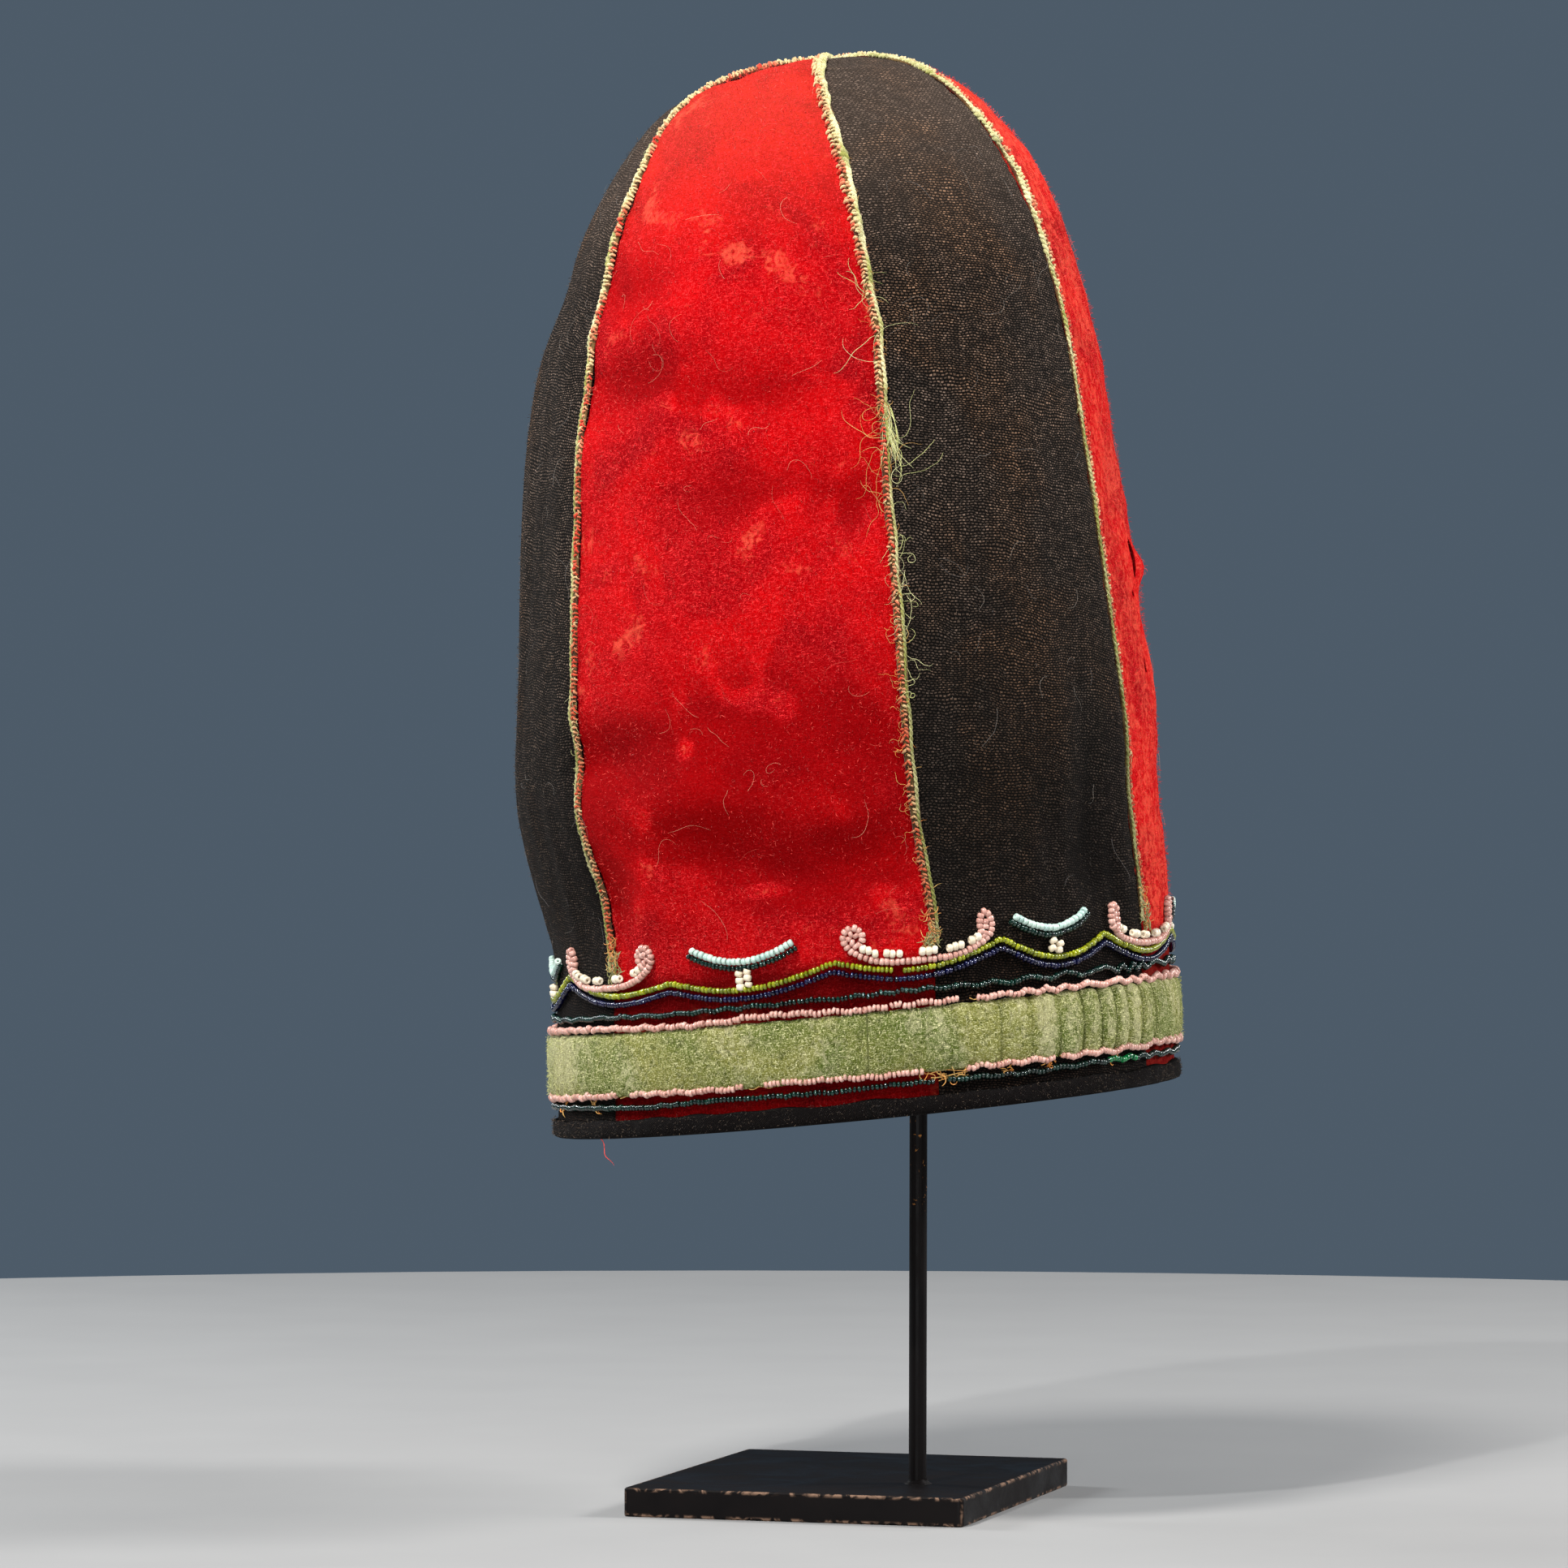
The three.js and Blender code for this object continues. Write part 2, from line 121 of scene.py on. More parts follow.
# Finer folds of the cloth that only the surface shows, in the same order
FOLDS = [
    (-62, 0.50, 2.2, 0.28, 0.10),
    (-74, 0.52, 2.0, 0.26, 0.14),
    (-81, 0.42, 2.0, 0.24, 0.12),
    (-66, 0.28, 1.8, 0.10, 0.12),
    (-14, 0.375, 17, 0.06, 0.40),
    (38, 0.20, 2.4, 0.08, 0.28),
    (49, 0.30, 3.6, 0.13, 0.35),
    (54, 0.19, 1.8, 0.06, 0.35),
    (58.5, 0.33, 2.2, 0.16, -0.22),
    (84.5, 0.486, 3.2, 0.018, -0.75),
    (74, 0.43, 2.0, 0.05, 0.12),
    (69, 0.36, 1.6, 0.09, 0.10),
]

# Rubbed spots of the front red gore, in the same order but with heights in millimetres
WORN_SPOTS = [
    (-16.2, 65, 4.2, 2.0, 2.4),
    (-27.0, 105, 1.3, 2.2, 2.4),
]

# Moth holes: angle, height, width and height span
MOTH_HOLES = [
    (79, 0.496, 0.018, 0.036),
    (79, 0.392, 0.007, 0.014),
    (76, 0.461, 0.005, 0.005),
]

# The form of the cap


def unit(vectors):
    return vectors / np.maximum(np.linalg.norm(vectors, axis=-1, keepdims=True), 1e-9)


def smoothstep(value, low, high):
    share = np.clip((value - low) / (high - low), 0, 1)
    return share * share * (3 - 2 * share)


def circle(count):
    """Even angles round a circle, in radians."""
    return np.linspace(0, 2 * math.pi, count, endpoint=False)


def turn_between(start, end):
    """Degrees from one angle to another by the short way round."""
    return np.mod(end - start + 180, 360) - 180


def bell(angle, middle, wide):
    """1 at the middle angle, fading away over a width."""
    return np.exp(-((turn_between(middle, angle) / wide) ** 2))


def profile_at(along):
    """Half width, centre, height and swing of the form, from 0 at the rim to 1 at the crown."""
    points = SECTIONS[:, [2, 1, 0]]
    last = len(points) - 1
    knots = np.vstack([2 * points[0] - points[1], points, points[-2] * [-1, 1, 1]])
    place = np.clip(along, 0, 1) * last
    row = np.minimum(place.astype(int), last - 1)
    t = (place - row)[..., None]
    before, start, end, after = (knots[row + step] for step in range(4))
    curve = (
        (2 * t**3 - 3 * t**2 + 1) * start
        + (t**3 - 2 * t**2 + t) * (end - before) / 2
        + (3 * t**2 - 2 * t**3) * end
        + (t**3 - t**2) * (after - start) / 2
    )
    swing = np.interp(place, np.arange(last + 1), SECTIONS[:, 3])
    return curve[..., 0], curve[..., 1], curve[..., 2], swing


def smooth_point(angle, along):
    """A point of the form before its relief."""
    angle, along = np.broadcast_arrays(np.asarray(angle, float), np.asarray(along, float))
    half, centre, height, swing = profile_at(along)
    across = np.sin(np.radians(angle)) + swing
    towards = np.cos(np.radians(angle))
    length = np.hypot(across, towards)
    x = CAP_WIDTH / 2 * (centre + half * across / length)
    y = -CAP_DEPTH / 2 * half * towards / length
    return np.stack([x, y, CAP_HEIGHT * height], axis=-1)


def smooth_normal(angle, along):
    step = 0.004
    inside = np.minimum(along, 1 - 2 * step)
    around = smooth_point(angle + 1, inside) - smooth_point(angle - 1, inside)
    upward = smooth_point(angle, inside + step) - smooth_point(angle, np.maximum(inside - step, 0))
    level = smoothstep(along, 1 - 4 * step, 1)[..., None]
    return unit(unit(np.cross(around, upward)) * (1 - level) + np.array([0, 0, 1]) * level)


def gore_of(angle):
    """The gore that each angle falls on, its width in degrees and the share of it passed."""
    starts = np.array(SEAM_ANGLES)
    widths = np.mod(np.roll(starts, -1) - starts, 360)
    past = np.mod(angle[..., None] - starts, 360)
    gore = np.argmax(past < widths, axis=-1)
    share = np.take_along_axis(past, gore[..., None], -1)[..., 0] / widths[gore]
    return gore, widths[gore], share


def depths_at(spots, angle, height):
    """The depth of each spot of a table, and the share of it that each place has."""
    for middle, level, wide, tall, depth in spots:
        sideways = turn_between(middle, angle) / wide
        yield depth, np.exp(-(sideways**2) - ((height - level) / tall) ** 2)


def relief(angle, height):
    """Puff of the gores, dents and folds, outwards."""
    share = gore_of(angle)[2]
    fade = smoothstep(height, 0.15, 0.3) * (1 - height**4)
    raised = PANEL_PUFF * np.sin(math.pi * share) * fade
    for depth, share in depths_at(DENTS + FOLDS, angle, height):
        raised = raised - DENT_DEPTH * depth * share
    return raised


def painted_dent_shade(angle, height):
    """How deep in a dent or fold of the cloth each place is, about 0 to 1; the gores paint shade there by it.
    """
    spots = depths_at(DENTS + FOLDS, angle, height)
    return np.clip(sum(max(depth, 0) * share for depth, share in spots), 0, 1)


def soft_noise(points, size, seed):
    """Smooth noise of about -1 to 1 over points, with features of a size."""
    random = np.random.default_rng(seed)
    total = 0
    for _ in range(14):
        wave = unit(random.normal(size=3)) * 2 * math.pi / (size * random.uniform(0.75, 1.5))
        total = total + np.cos(points @ wave + random.uniform(0, 2 * math.pi))
    return total / 3.2


def cap_place(angle, along, offset=0.0):
    """A point at an offset outwards from the cloth's outer face, and the way outwards there."""
    angle, along = np.broadcast_arrays(np.asarray(angle, float), np.asarray(along, float))
    point = smooth_point(angle, along)
    normal = smooth_normal(angle, along)
    raised = relief(angle, point[..., 2] / CAP_HEIGHT) + offset
    return point + normal * raised[..., None], normal


def cap_point(angle, along, offset=0.0):
    return cap_place(angle, along, offset)[0]


# Length along the front's profile at even places, to find a place from a height or a length
PLACES = np.linspace(0, 1, 1501)
FRONT = smooth_point(0.0, PLACES)
LENGTHS = np.concatenate([[0], np.cumsum(np.linalg.norm(np.diff(FRONT, axis=0), axis=1))])


def along_at(height):
    return np.interp(height, FRONT[:, 2], PLACES)


def along_length(length):
    return np.interp(length, LENGTHS, PLACES)


def length_at(along):
    return np.interp(along, PLACES, LENGTHS)


def radius_at(along):
    return np.abs(smooth_point(0.0, along)[..., 1])


def to_frame(points):
    """Points of the cap's frame as the shared frame's metres."""
    x, y, z = np.moveaxis(np.asarray(points, float), -1, 0)
    leaned_x = x * math.cos(CAP_LEAN) - z * math.sin(CAP_LEAN) + RIM_OFFSET
    leaned_z = x * math.sin(CAP_LEAN) + z * math.cos(CAP_LEAN) + RIM_HEIGHT
    turned_x = leaned_x * math.cos(CAP_TURN) - y * math.sin(CAP_TURN)
    turned_y = leaned_x * math.sin(CAP_TURN) + y * math.cos(CAP_TURN)
    return np.stack([turned_x, turned_y, leaned_z], axis=-1) / 1000


# Making meshes


def make_piece(name, points, faces, material, slot=None, uvs=None, tones=None, on_cap=True):
    """A smooth mesh that rides on the part, from points and faces of as many corners each."""
    mesh = bpy.data.meshes.new(name)
    placed = to_frame(points) if on_cap else np.asarray(points) / 1000
    mesh.vertices.add(len(placed))
    mesh.vertices.foreach_set("co", placed.astype(np.float32).ravel())
    corners = faces.shape[1]
    mesh.loops.add(faces.size)
    mesh.loops.foreach_set("vertex_index", faces.astype(np.int32).ravel())
    mesh.polygons.add(len(faces))
    mesh.polygons.foreach_set("loop_start", np.arange(0, faces.size, corners, dtype=np.int32))
    mesh.polygons.foreach_set("use_smooth", np.ones(len(faces), bool))
    if uvs is not None:
        layer = mesh.uv_layers.new(name="UVMap")
        layer.data.foreach_set("uv", uvs[faces.ravel()].astype(np.float32).ravel())
    if tones is not None:
        tone = mesh.attributes.new("tone", "FLOAT", "POINT")
        tone.data.foreach_set("value", np.asarray(tones, np.float32).ravel())
    mesh.update(calc_edges=True)
    mesh.validate()
    piece = bpy.data.objects.new(name, mesh)
    bpy.context.scene.collection.objects.link(piece)
    mesh.materials.append(material)
    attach(piece, "root")
    return piece


def loft_faces(loops, count, ring=False):
    """Faces of a closed body through loops of points, with its ends capped or joined."""
    index = np.arange(loops * count).reshape(loops, count)
    here = index if ring else index[:-1]
    there = np.roll(index, -1, axis=0) if ring else index[1:]
    quads = np.stack([here, np.roll(here, -1, 1), np.roll(there, -1, 1), there], -1).reshape(-1, 4)
    if ring:
        return quads
    side = np.arange(count // 2 - 1)
    other = count - 1 - side
    foot = np.stack([side, other, other - 1, side + 1], -1)
    head = np.stack([side, side + 1, other - 1, other], -1) + (loops - 1) * count
    return np.vstack([quads, foot, head])


def tubes(paths, radii, sides, reference):
    """Round tubes along paths of as many points each, with a reference direction across them."""
    paths = np.asarray(paths, float)
    tangent = unit(np.gradient(paths, axis=1))
    across = unit(np.cross(tangent, reference))
    upward = np.cross(across, tangent)
    turn = circle(sides)[:, None]
    ring = across[..., None, :] * np.cos(turn) + upward[..., None, :] * np.sin(turn)
    radii = np.broadcast_to(radii, paths.shape[:2])
    points = paths[..., None, :] + ring * radii[..., None, None]
    index = np.arange(points[..., 0].size).reshape(*paths.shape[:2], sides)
    here, there = index[:, :-1], index[:, 1:]
    faces = np.stack([here, np.roll(here, -1, 2), np.roll(there, -1, 2), there], -1)
    return points.reshape(-1, 3), faces.reshape(-1, 4)


def join(parts):
    """Several lists of points and faces as one."""
    points, faces, total = [], [], 0
    for part_points, part_faces in parts:
        points.append(part_points)
        faces.append(part_faces + total)
        total += len(part_points)
    return np.vstack(points), np.vstack(faces)


# Materials


class Finish:
    """A node material under construction."""

    def __init__(self, name, roughness=0.9):
        self.material = bpy.data.materials.new(name)
        self.material.use_nodes = True
        self.tree = self.material.node_tree
        self.shader = self.tree.nodes["Principled BSDF"]
        self.shader.inputs["Roughness"].default_value = roughness
        places = self.add("TexCoord")
        self.place = places.outputs["Object"]
        self.cloth = places.outputs["UV"]

    def add(self, kind, inputs=None, **settings):
        node = self.tree.nodes.new("ShaderNode" + kind)
        for name, value in settings.items():
            setattr(node, name, value)
        for name, value in (inputs or {}).items():
            self.put(node.inputs[name], value)
        return node

    def put(self, socket, value):
        if isinstance(value, bpy.types.NodeSocket):
            self.tree.links.new(value, socket)
        else:
            socket.default_value = (*value, 1.0) if socket.type == "RGBA" else value

    def set(self, **values):
        for name, value in values.items():
            self.put(self.shader.inputs[name.replace("_", " ")], value)

    def noise(self, size, detail=2.0, distortion=0.0, vector=None, stretch=None):
        """Noise with features of a size, or on cloth coordinates with a stretch and a turn."""
        vector = vector or self.place
        scale = 1000 / size if vector == self.place else 1 / size
        if stretch:
            inputs = {"Vector": vector, "Scale": stretch[:3], "Rotation": (0, 0, stretch[3])}
            vector = self.add("Mapping", inputs).outputs["Vector"]
        inputs = {"Vector": vector, "Scale": scale, "Detail": detail, "Distortion": distortion}
        return self.add("TexNoise", inputs).outputs["Fac"]

    def ramp(self, value, low, high):
        """The value spread out from 0 at low to 1 at high."""
        inputs = {"Value": value, "From Min": low, "From Max": high}
        return self.add("MapRange", inputs, interpolation_type="SMOOTHSTEP").outputs["Result"]

    def spots(self, size, detail, distortion, low, high, most=None):
        """Noise spread out from 0 at low to 1 at high, or to the most."""
        value = self.ramp(self.noise(size, detail, distortion), low, high)
        return self.times(value, most) if most else value

    def math(self, operation, *values):
        node = self.add("Math", operation=operation)
        for socket, value in zip(node.inputs, values):
            self.put(socket, value)
        return node.outputs["Value"]

    def times(self, first, second):
        return self.math("MULTIPLY", first, second)

    def plus(self, first, second):
        return self.math("ADD", first, second)

    def larger(self, first, second):
        return self.math("MAXIMUM", first, second)

    def mix(self, share, first, second, blend="MIX"):
        inputs = {"Fac": share, "Color1": first, "Color2": second}
        return self.add("MixRGB", inputs, blend_type=blend).outputs["Color"]

    def over(self, tint, *coats):
        """A tint with coats laid over it, each a share, a colour and perhaps a way to blend."""
        for share, coat, *blend in coats:
            tint = self.mix(share, tint, coat, *blend)
        return tint

    def tone(self):
        return self.add("Attribute", attribute_name="tone").outputs["Fac"]

    def bump(self, height, distance, strength=1.0, under=None):
        inputs = {"Height": height, "Distance": distance / 1000, "Strength": strength}
        if under:
            inputs["Normal"] = under
        return self.add("Bump", inputs).outputs["Normal"]

    def length_between(self, low, high, most):
        """Rises from 0 to most between two lengths up the cloth above the rim."""
        length = self.add("SeparateXYZ", {"Vector": self.cloth}).outputs["Y"]
        return self.times(self.ramp(length, low, high), most)

    def near_border(self):
        """How far into the beaded border a piece of cloth is; the finishes darken the cloth there."""
        return self.length_between(47, 40, 0.9)


def felt_finish(name, dark, shade, body, bright, worn, sheen, pit_shade, fine=1.0):
    """Napped wool felt: crossing fibres, patches where the nap lies over, spots worn bare, painted shade in
    pits and dents, and painted light near the crown.
    """
    felt = Finish(name)
    wear = felt.tone()
    strands = [
        felt.noise(0.62 * fine, 2, 1.4, felt.cloth, (0.5, 2.2, 1, 0.5)),
        felt.noise(0.58 * fine, 2, 1.2, felt.cloth, (2.4, 0.5, 1, 0.3)),
        felt.noise(0.60 * fine, 2, 1.3, felt.cloth, (0.55, 2.0, 1, -0.9)),
    ]
    fibres = felt.larger(felt.larger(strands[0], strands[1]), strands[2])
    clumps = felt.noise(2.0 * fine, 3, 0.8)
    bare = felt.plus(felt.noise(2.6, 5, 1.2), felt.times(wear, 0.30))
    tint = felt.over(
        felt.mix(felt.spots(30, 4, 0.9, 0.34, 0.64), shade, body),
        # Painted shade: dark pits between the fibres.
        (felt.times(felt.ramp(clumps, 0.52, 0.30), pit_shade), dark),
        # Worn colour where the tone is high: real wear, and on the band's sides painted sheen.
        (felt.times(felt.ramp(bare, 0.60, 0.92), 0.55), worn),
        # Painted light: lighter and more orange towards the crown, where light from above falls.
        (felt.length_between(235, 300, 0.22), worn),
        (felt.ramp(fibres, 0.57, 0.73), bright),
        # Painted shade: finer dark pits between the fibres.
        (felt.spots(0.7 * fine, 2, 1.8, 0.47, 0.33, pit_shade), dark),
        # Painted shade where the tone falls below zero: dents and folds, the front gore below its bulge, and
        # the band's creases.
        (felt.times(felt.ramp(wear, 0.0, -1.0), 0.75), dark),
        (felt.near_border(), (0.15, 0.12, 0.12), "MULTIPLY"),
    )
    felt.set(Base_Color=tint, Sheen_Weight=sheen, Sheen_Roughness=0.4, Sheen_Tint=body)
    soft = felt.bump(clumps, 0.6, 0.6)
    felt.set(Specular_IOR_Level=0.02, Normal=felt.bump(fibres, 0.4, 1.0, soft))
    return felt.material


def weave_finish(name, dark, thread, brown, pick_length=1.20, pick_height=0.76, slant=0.14):
    """Dark wool weave, its picks in wavy rows, browner where it is worn thin, with painted shade in dents and
    low down and painted light near the crown.
    """
    weave = Finish(name)
    tone = weave.tone()
    wander = weave.noise(16, 2, 0, weave.cloth)
    jitter = weave.times(weave.noise(2.4, 2, 0, weave.cloth), 0.9)
    shift_y = weave.plus(weave.times(wander, 5.0), jitter)
    shift = weave.add("CombineXYZ", {"X": weave.times(wander, 2.2), "Y": shift_y}).outputs["Vector"]
    moved = weave.add("VectorMath", {0: weave.cloth, 1: shift}, operation="ADD").outputs["Vector"]
    slanted = weave.add("Mapping", {"Vector": moved, "Rotation": (0, 0, slant)}).outputs["Vector"]
    wear = weave.plus(weave.noise(30, 4, 0.8), weave.times(tone, 0.3))
    cloth_thread = weave.mix(weave.ramp(wear, 0.50, 0.85), thread, brown)
    bricks = {
        "Vector": slanted,
        "Color1": weave.mix(0.75, cloth_thread, dark),
        "Color2": cloth_thread,
        "Mortar": (0.003, 0.0025, 0.0022),
        "Scale": 1.0,
        "Mortar Size": 0.40 * pick_height,
        "Mortar Smooth": 0.7,
        "Bias": -0.35,
        "Brick Width": pick_length,
        "Row Height": pick_height,
    }
    picks = weave.add("TexBrick", bricks, offset=0.34, offset_frequency=2).outputs
    fuzz = weave.noise(0.6, 2, 1.0)
    tint = weave.over(
        weave.mix(weave.ramp(fuzz, 0.24, 0.40), dark, picks["Color"]),
        (weave.spots(13, 4, 1.2, 0.55, 0.36, 0.3), dark),
        # Painted shade where the tone falls below zero, in the dents and folds.
        (weave.times(weave.ramp(tone, 0.0, -1.0), 0.7), dark),
        (weave.spots(1.9, 3, 0.8, 0.62, 0.42, 0.55), dark),
        # Painted shade: darker lower down the gore, under light from above.
        (weave.length_between(200, 65, 0.72), dark),
        # Painted light: a little lighter near the crown.
        (weave.length_between(225, 290, 0.09), thread),
        (weave.spots(0.9, 4, 2.5, 0.68, 0.74, 0.5), (0.17, 0.14, 0.12)),
        (weave.near_border(), (0.55, 0.5, 0.5), "MULTIPLY"),
    )
    weave.set(Base_Color=tint, Sheen_Weight=0.03, Sheen_Roughness=0.4, Sheen_Tint=(0.75, 0.72, 0.70))
    soft = weave.bump(fuzz, 0.3, 0.6)
    weave.set(Specular_IOR_Level=0.02, Normal=weave.bump(picks["Fac"], -0.35, 1.0, soft))
    return weave.material


def bead_finish(name, body, shade, roughness, coat, clear=0.0):
    """Glass beads of one colour, each a little lighter or darker than the next."""
    bead = Finish(name, roughness)
    grain = bead.noise(0.9, 2, 0.4)
    dusk = bead.times(bead.ramp(grain, 0.45, 0.75), 0.25)
    tint = bead.over(bead.mix(bead.tone(), shade, body), (dusk, shade))
    bead.set(Base_Color=tint, Transmission_Weight=clear, Coat_Weight=coat, Coat_Roughness=0.04, IOR=1.5)
    if roughness > 0.1:
        bead.set(Normal=bead.bump(grain, 0.05, 0.3))
    return bead.material


def thread_finish(name, first, second, low=None, size=0.5):
    """Cotton thread, its two colours mixed by stitch and by twist, and darker towards the rim."""
    thread = Finish(name, 0.8)
    strands = thread.noise(size, 3, 1.5)
    tint = thread.mix(thread.tone(), first, second)
    if low:
        height = thread.add("SeparateXYZ", {"Vector": thread.place}).outputs["Z"]
        rimward_darkening = thread.times(thread.ramp(height, 0.33, 0.17), 0.5)
        tint = thread.over(tint, (rimward_darkening, low), (thread.spots(6, 4, 1, 0.5, 0.7, 0.5), low))
    tint = thread.over(tint, (thread.ramp(strands, 0.6, 0.3), (0.5, 0.45, 0.4), "MULTIPLY"))
    thread.set(Base_Color=tint, Sheen_Weight=0.15, Sheen_Roughness=0.4, Specular_IOR_Level=0.15)
    thread.set(Normal=thread.bump(strands, 0.12, 0.7))
    return thread.material


def steel_finish():
    """Black lacquer over steel, thin and brown along the plate's edges and chipped on the rod."""
    steel = Finish("black_lacquered_steel")
    axes = steel.add("SeparateXYZ", {"Vector": steel.place}).outputs
    near_side = steel.ramp(steel.math("ABSOLUTE", axes["X"]), 0.0479, 0.0488)
    near_front = steel.ramp(steel.math("ABSOLUTE", axes["Y"]), 0.0604, 0.0613)
    near_top = steel.ramp(axes["Z"], 0.0068, 0.0078)
    under_top = steel.ramp(axes["Z"], 0.0095, 0.0085)
    near_foot = steel.ramp(axes["Z"], 0.0012, 0.0004)
    on_rod = steel.ramp(axes["Z"], 0.082, 0.09)
    level_edges = steel.larger(steel.times(near_top, under_top), near_foot)
    edge = steel.times(steel.larger(near_side, near_front), level_edges)
    corner = steel.times(steel.times(near_side, near_front), under_top)
    wear = steel.times(steel.larger(edge, corner), steel.spots(3.2, 5, 1, 0.44, 0.62))
    mottle = steel.noise(16, 5, 0.8)
    tint = steel.over(
        steel.mix(mottle, (0.002, 0.0019, 0.0023), (0.006, 0.004, 0.0036)),
        (wear, (0.20, 0.12, 0.08)),
        (steel.times(on_rod, steel.spots(1.7, 4, 1.5, 0.66, 0.7)), (0.32, 0.13, 0.03)),
    )
    rough = steel.ramp(steel.plus(mottle, steel.times(steel.noise(1.2, 4, 2), 0.35)), 0.35, 1.0)
    steel.set(Base_Color=tint, Roughness=steel.plus(0.36, steel.times(rough, 0.3)))
    orange_peel = steel.bump(steel.noise(2.2, 3), 0.06, 0.35)
    steel.set(Specular_IOR_Level=0.08, Normal=steel.bump(wear, -0.15, 0.6, orange_peel))
    return steel.material


RED_FELT = felt_finish(
    "red_felt",
    dark=(0.21, 0.0002, 0.0010),
    shade=(0.26, 0.0003, 0.0026),
    body=(0.49, 0.0006, 0.0018),
    bright=(0.92, 0.036, 0.04),
    worn=(0.90, 0.12, 0.065),
    sheen=0.05,
    pit_shade=0.28,
)
GREEN_FELT = felt_finish(
    "green_felt",
    dark=(0.035, 0.045, 0.006),
    shade=(0.085, 0.12, 0.018),
    body=(0.19, 0.19, 0.042),
    bright=(0.86, 0.83, 0.45),
    worn=(0.54, 0.50, 0.30),
    sheen=0.15,
    pit_shade=0.65,
    fine=0.9,
)
BLACK_WEAVE = weave_finish(
    "black_weave", (0.004, 0.0034, 0.003), (0.36, 0.255, 0.195), (0.50, 0.285, 0.17)
)
DARK_TAPE = weave_finish(
    "dark_tape", (0.005, 0.004, 0.004), (0.05, 0.043, 0.04), (0.05, 0.036, 0.03), 1.5, 0.45, 0.95
)
STEEL = steel_finish()

# Glass of the beads: body, shade, roughness, coat and how clear it is
GLASS = {
    "pink": ((0.70, 0.41, 0.34), (0.50, 0.24, 0.19), 0.28, 0.25),
    "white": ((0.88, 0.79, 0.62), (0.72, 0.60, 0.43), 0.28, 0.25),
    "mint": ((0.62, 0.76, 0.66), (0.38, 0.56, 0.50), 0.28, 0.25),
    "lime": ((0.34, 0.36, 0.006), (0.12, 0.14, 0.002), 0.05, 0.8, 0.1),
    "navy": ((0.002, 0.003, 0.038), (0.001, 0.001, 0.008), 0.03, 0.5),
    "green": ((0.001, 0.024, 0.015), (0.001, 0.004, 0.003), 0.03, 0.5),
    "bright_green": ((0.001, 0.22, 0.05), (0.001, 0.09, 0.03), 0.03, 0.6),
}
GLASS = {name: bead_finish(f"{name}_glass", *row) for name, row in GLASS.items()}

# Threads and fibres: two colours, the darker colour they take towards the rim, and size of the twist
THREAD = {
    "cord": ((0.32, 0.33, 0.08), (0.80, 0.74, 0.42), (0.11, 0.12, 0.025)),
    "stitches": ((0.74, 0.055, 0.03), (0.80, 0.66, 0.34), (0.30, 0.12, 0.04), 0.4),
    "cord_bed": ((0.08, 0.025, 0.01), (0.18, 0.11, 0.035), (0.03, 0.022, 0.008)),
    "loose_yellow": ((0.84, 0.82, 0.46), (0.58, 0.62, 0.22)),
    "loose_orange": ((0.82, 0.28, 0.05), (0.70, 0.48, 0.16)),
    "lint_pale": ((0.62, 0.05, 0.035), (0.85, 0.40, 0.26)),
    "lint_red": ((0.58, 0.002, 0.005), (0.95, 0.10, 0.08)),
    "lint_grey": ((0.14, 0.13, 0.13), (0.30, 0.26, 0.22)),
    "lint_black": ((0.03, 0.027, 0.025), (0.13, 0.09, 0.06)),
    "lint_green": ((0.34, 0.38, 0.11), (0.72, 0.74, 0.36)),
}
THREAD = {name: thread_finish(name, *row) for name, row in THREAD.items()}

# The gores

PUCKER_PITCH = 7.5
SEAM_HALF_GAP = 0.08
OPEN_AT_CROWN = 1.4
FRONT_SPACING = 1.9
BACK_SPACING = 2.3
BACK_GORES = (3, 4)
# The cutter of the moth holes: its sides and how far it reaches through the cloth
CUTTER_SIDES = 24
CUTTER_REACH = 6


def pull_of_seams(angle, along, points):
    """How the seams draw the cloth in: a roll at the seam and puckers beside it."""
    _, width, share = gore_of(angle)
    arc = np.radians(width) * radius_at(along)
    from_seam = np.minimum(share, 1 - share) * arc
    length = length_at(along)
    roll = -0.85 * np.exp(-((from_seam / 1.3) ** 2))
    beat = np.sin(2 * math.pi * length / PUCKER_PITCH + 2.4 * soft_noise(points, 30, 5))
    pucker = 0.22 * beat * np.exp(-from_seam / 5)
    above_border = smoothstep(length, 42, 60)
    return (roll + pucker) * above_border


def cloth_relief(angle, along):
    """The small unevenness of the cloth itself."""
    points = smooth_point(angle, along)
    is_red = gore_of(angle)[0] % 2 == 0
    felted = 0.32 * soft_noise(points, 26, 1) + 0.16 * soft_noise(points, 9, 2)
    woven = 0.20 * soft_noise(points * [1.8, 1.8, 0.35], 22, 3) + 0.05 * soft_noise(points, 7, 4)
    uneven = np.where(is_red, felted, woven) * smoothstep(points[..., 2], 40, 60)
    return uneven + pull_of_seams(angle, along, points)


def wear_and_shade_of(index, points, share, angle):
    """How worn the cloth of a gore is: patches on the red ones, the middle of the black ones, and a broad
    painted shade across the front red one below its bulge.
    """
    patches = smoothstep(soft_noise(points, 34, 12), -0.1, 1.2)
    patches = patches * smoothstep(soft_noise(points, 12, 13), -0.2, 1.1)
    if index % 2:
        return 0.75 * np.exp(-(((share - 0.45) / 0.3) ** 2)) + 0.35 * patches
    height = points[..., 2]
    if index == 0:
        # Painted shade: a broad darker band across the front gore below its bulge.
        patches = patches - 0.7 * np.exp(-(((height - 92) / 32) ** 2))
        for worn, here in depths_at(WORN_SPOTS, angle, height):
            patches = patches + worn * here
    if index == 2:
        streaks = soft_noise(points * [1, 1, 0.22], 9, 14)
        return np.clip(0.76 + 0.14 * streaks + 0.3 * patches, 0, 1)
    return patches


def there_and_back(face, back):
    """Rows that run over the face of a gore and return along its back."""
    return np.concatenate([face, back[:, ::-1]], axis=1)


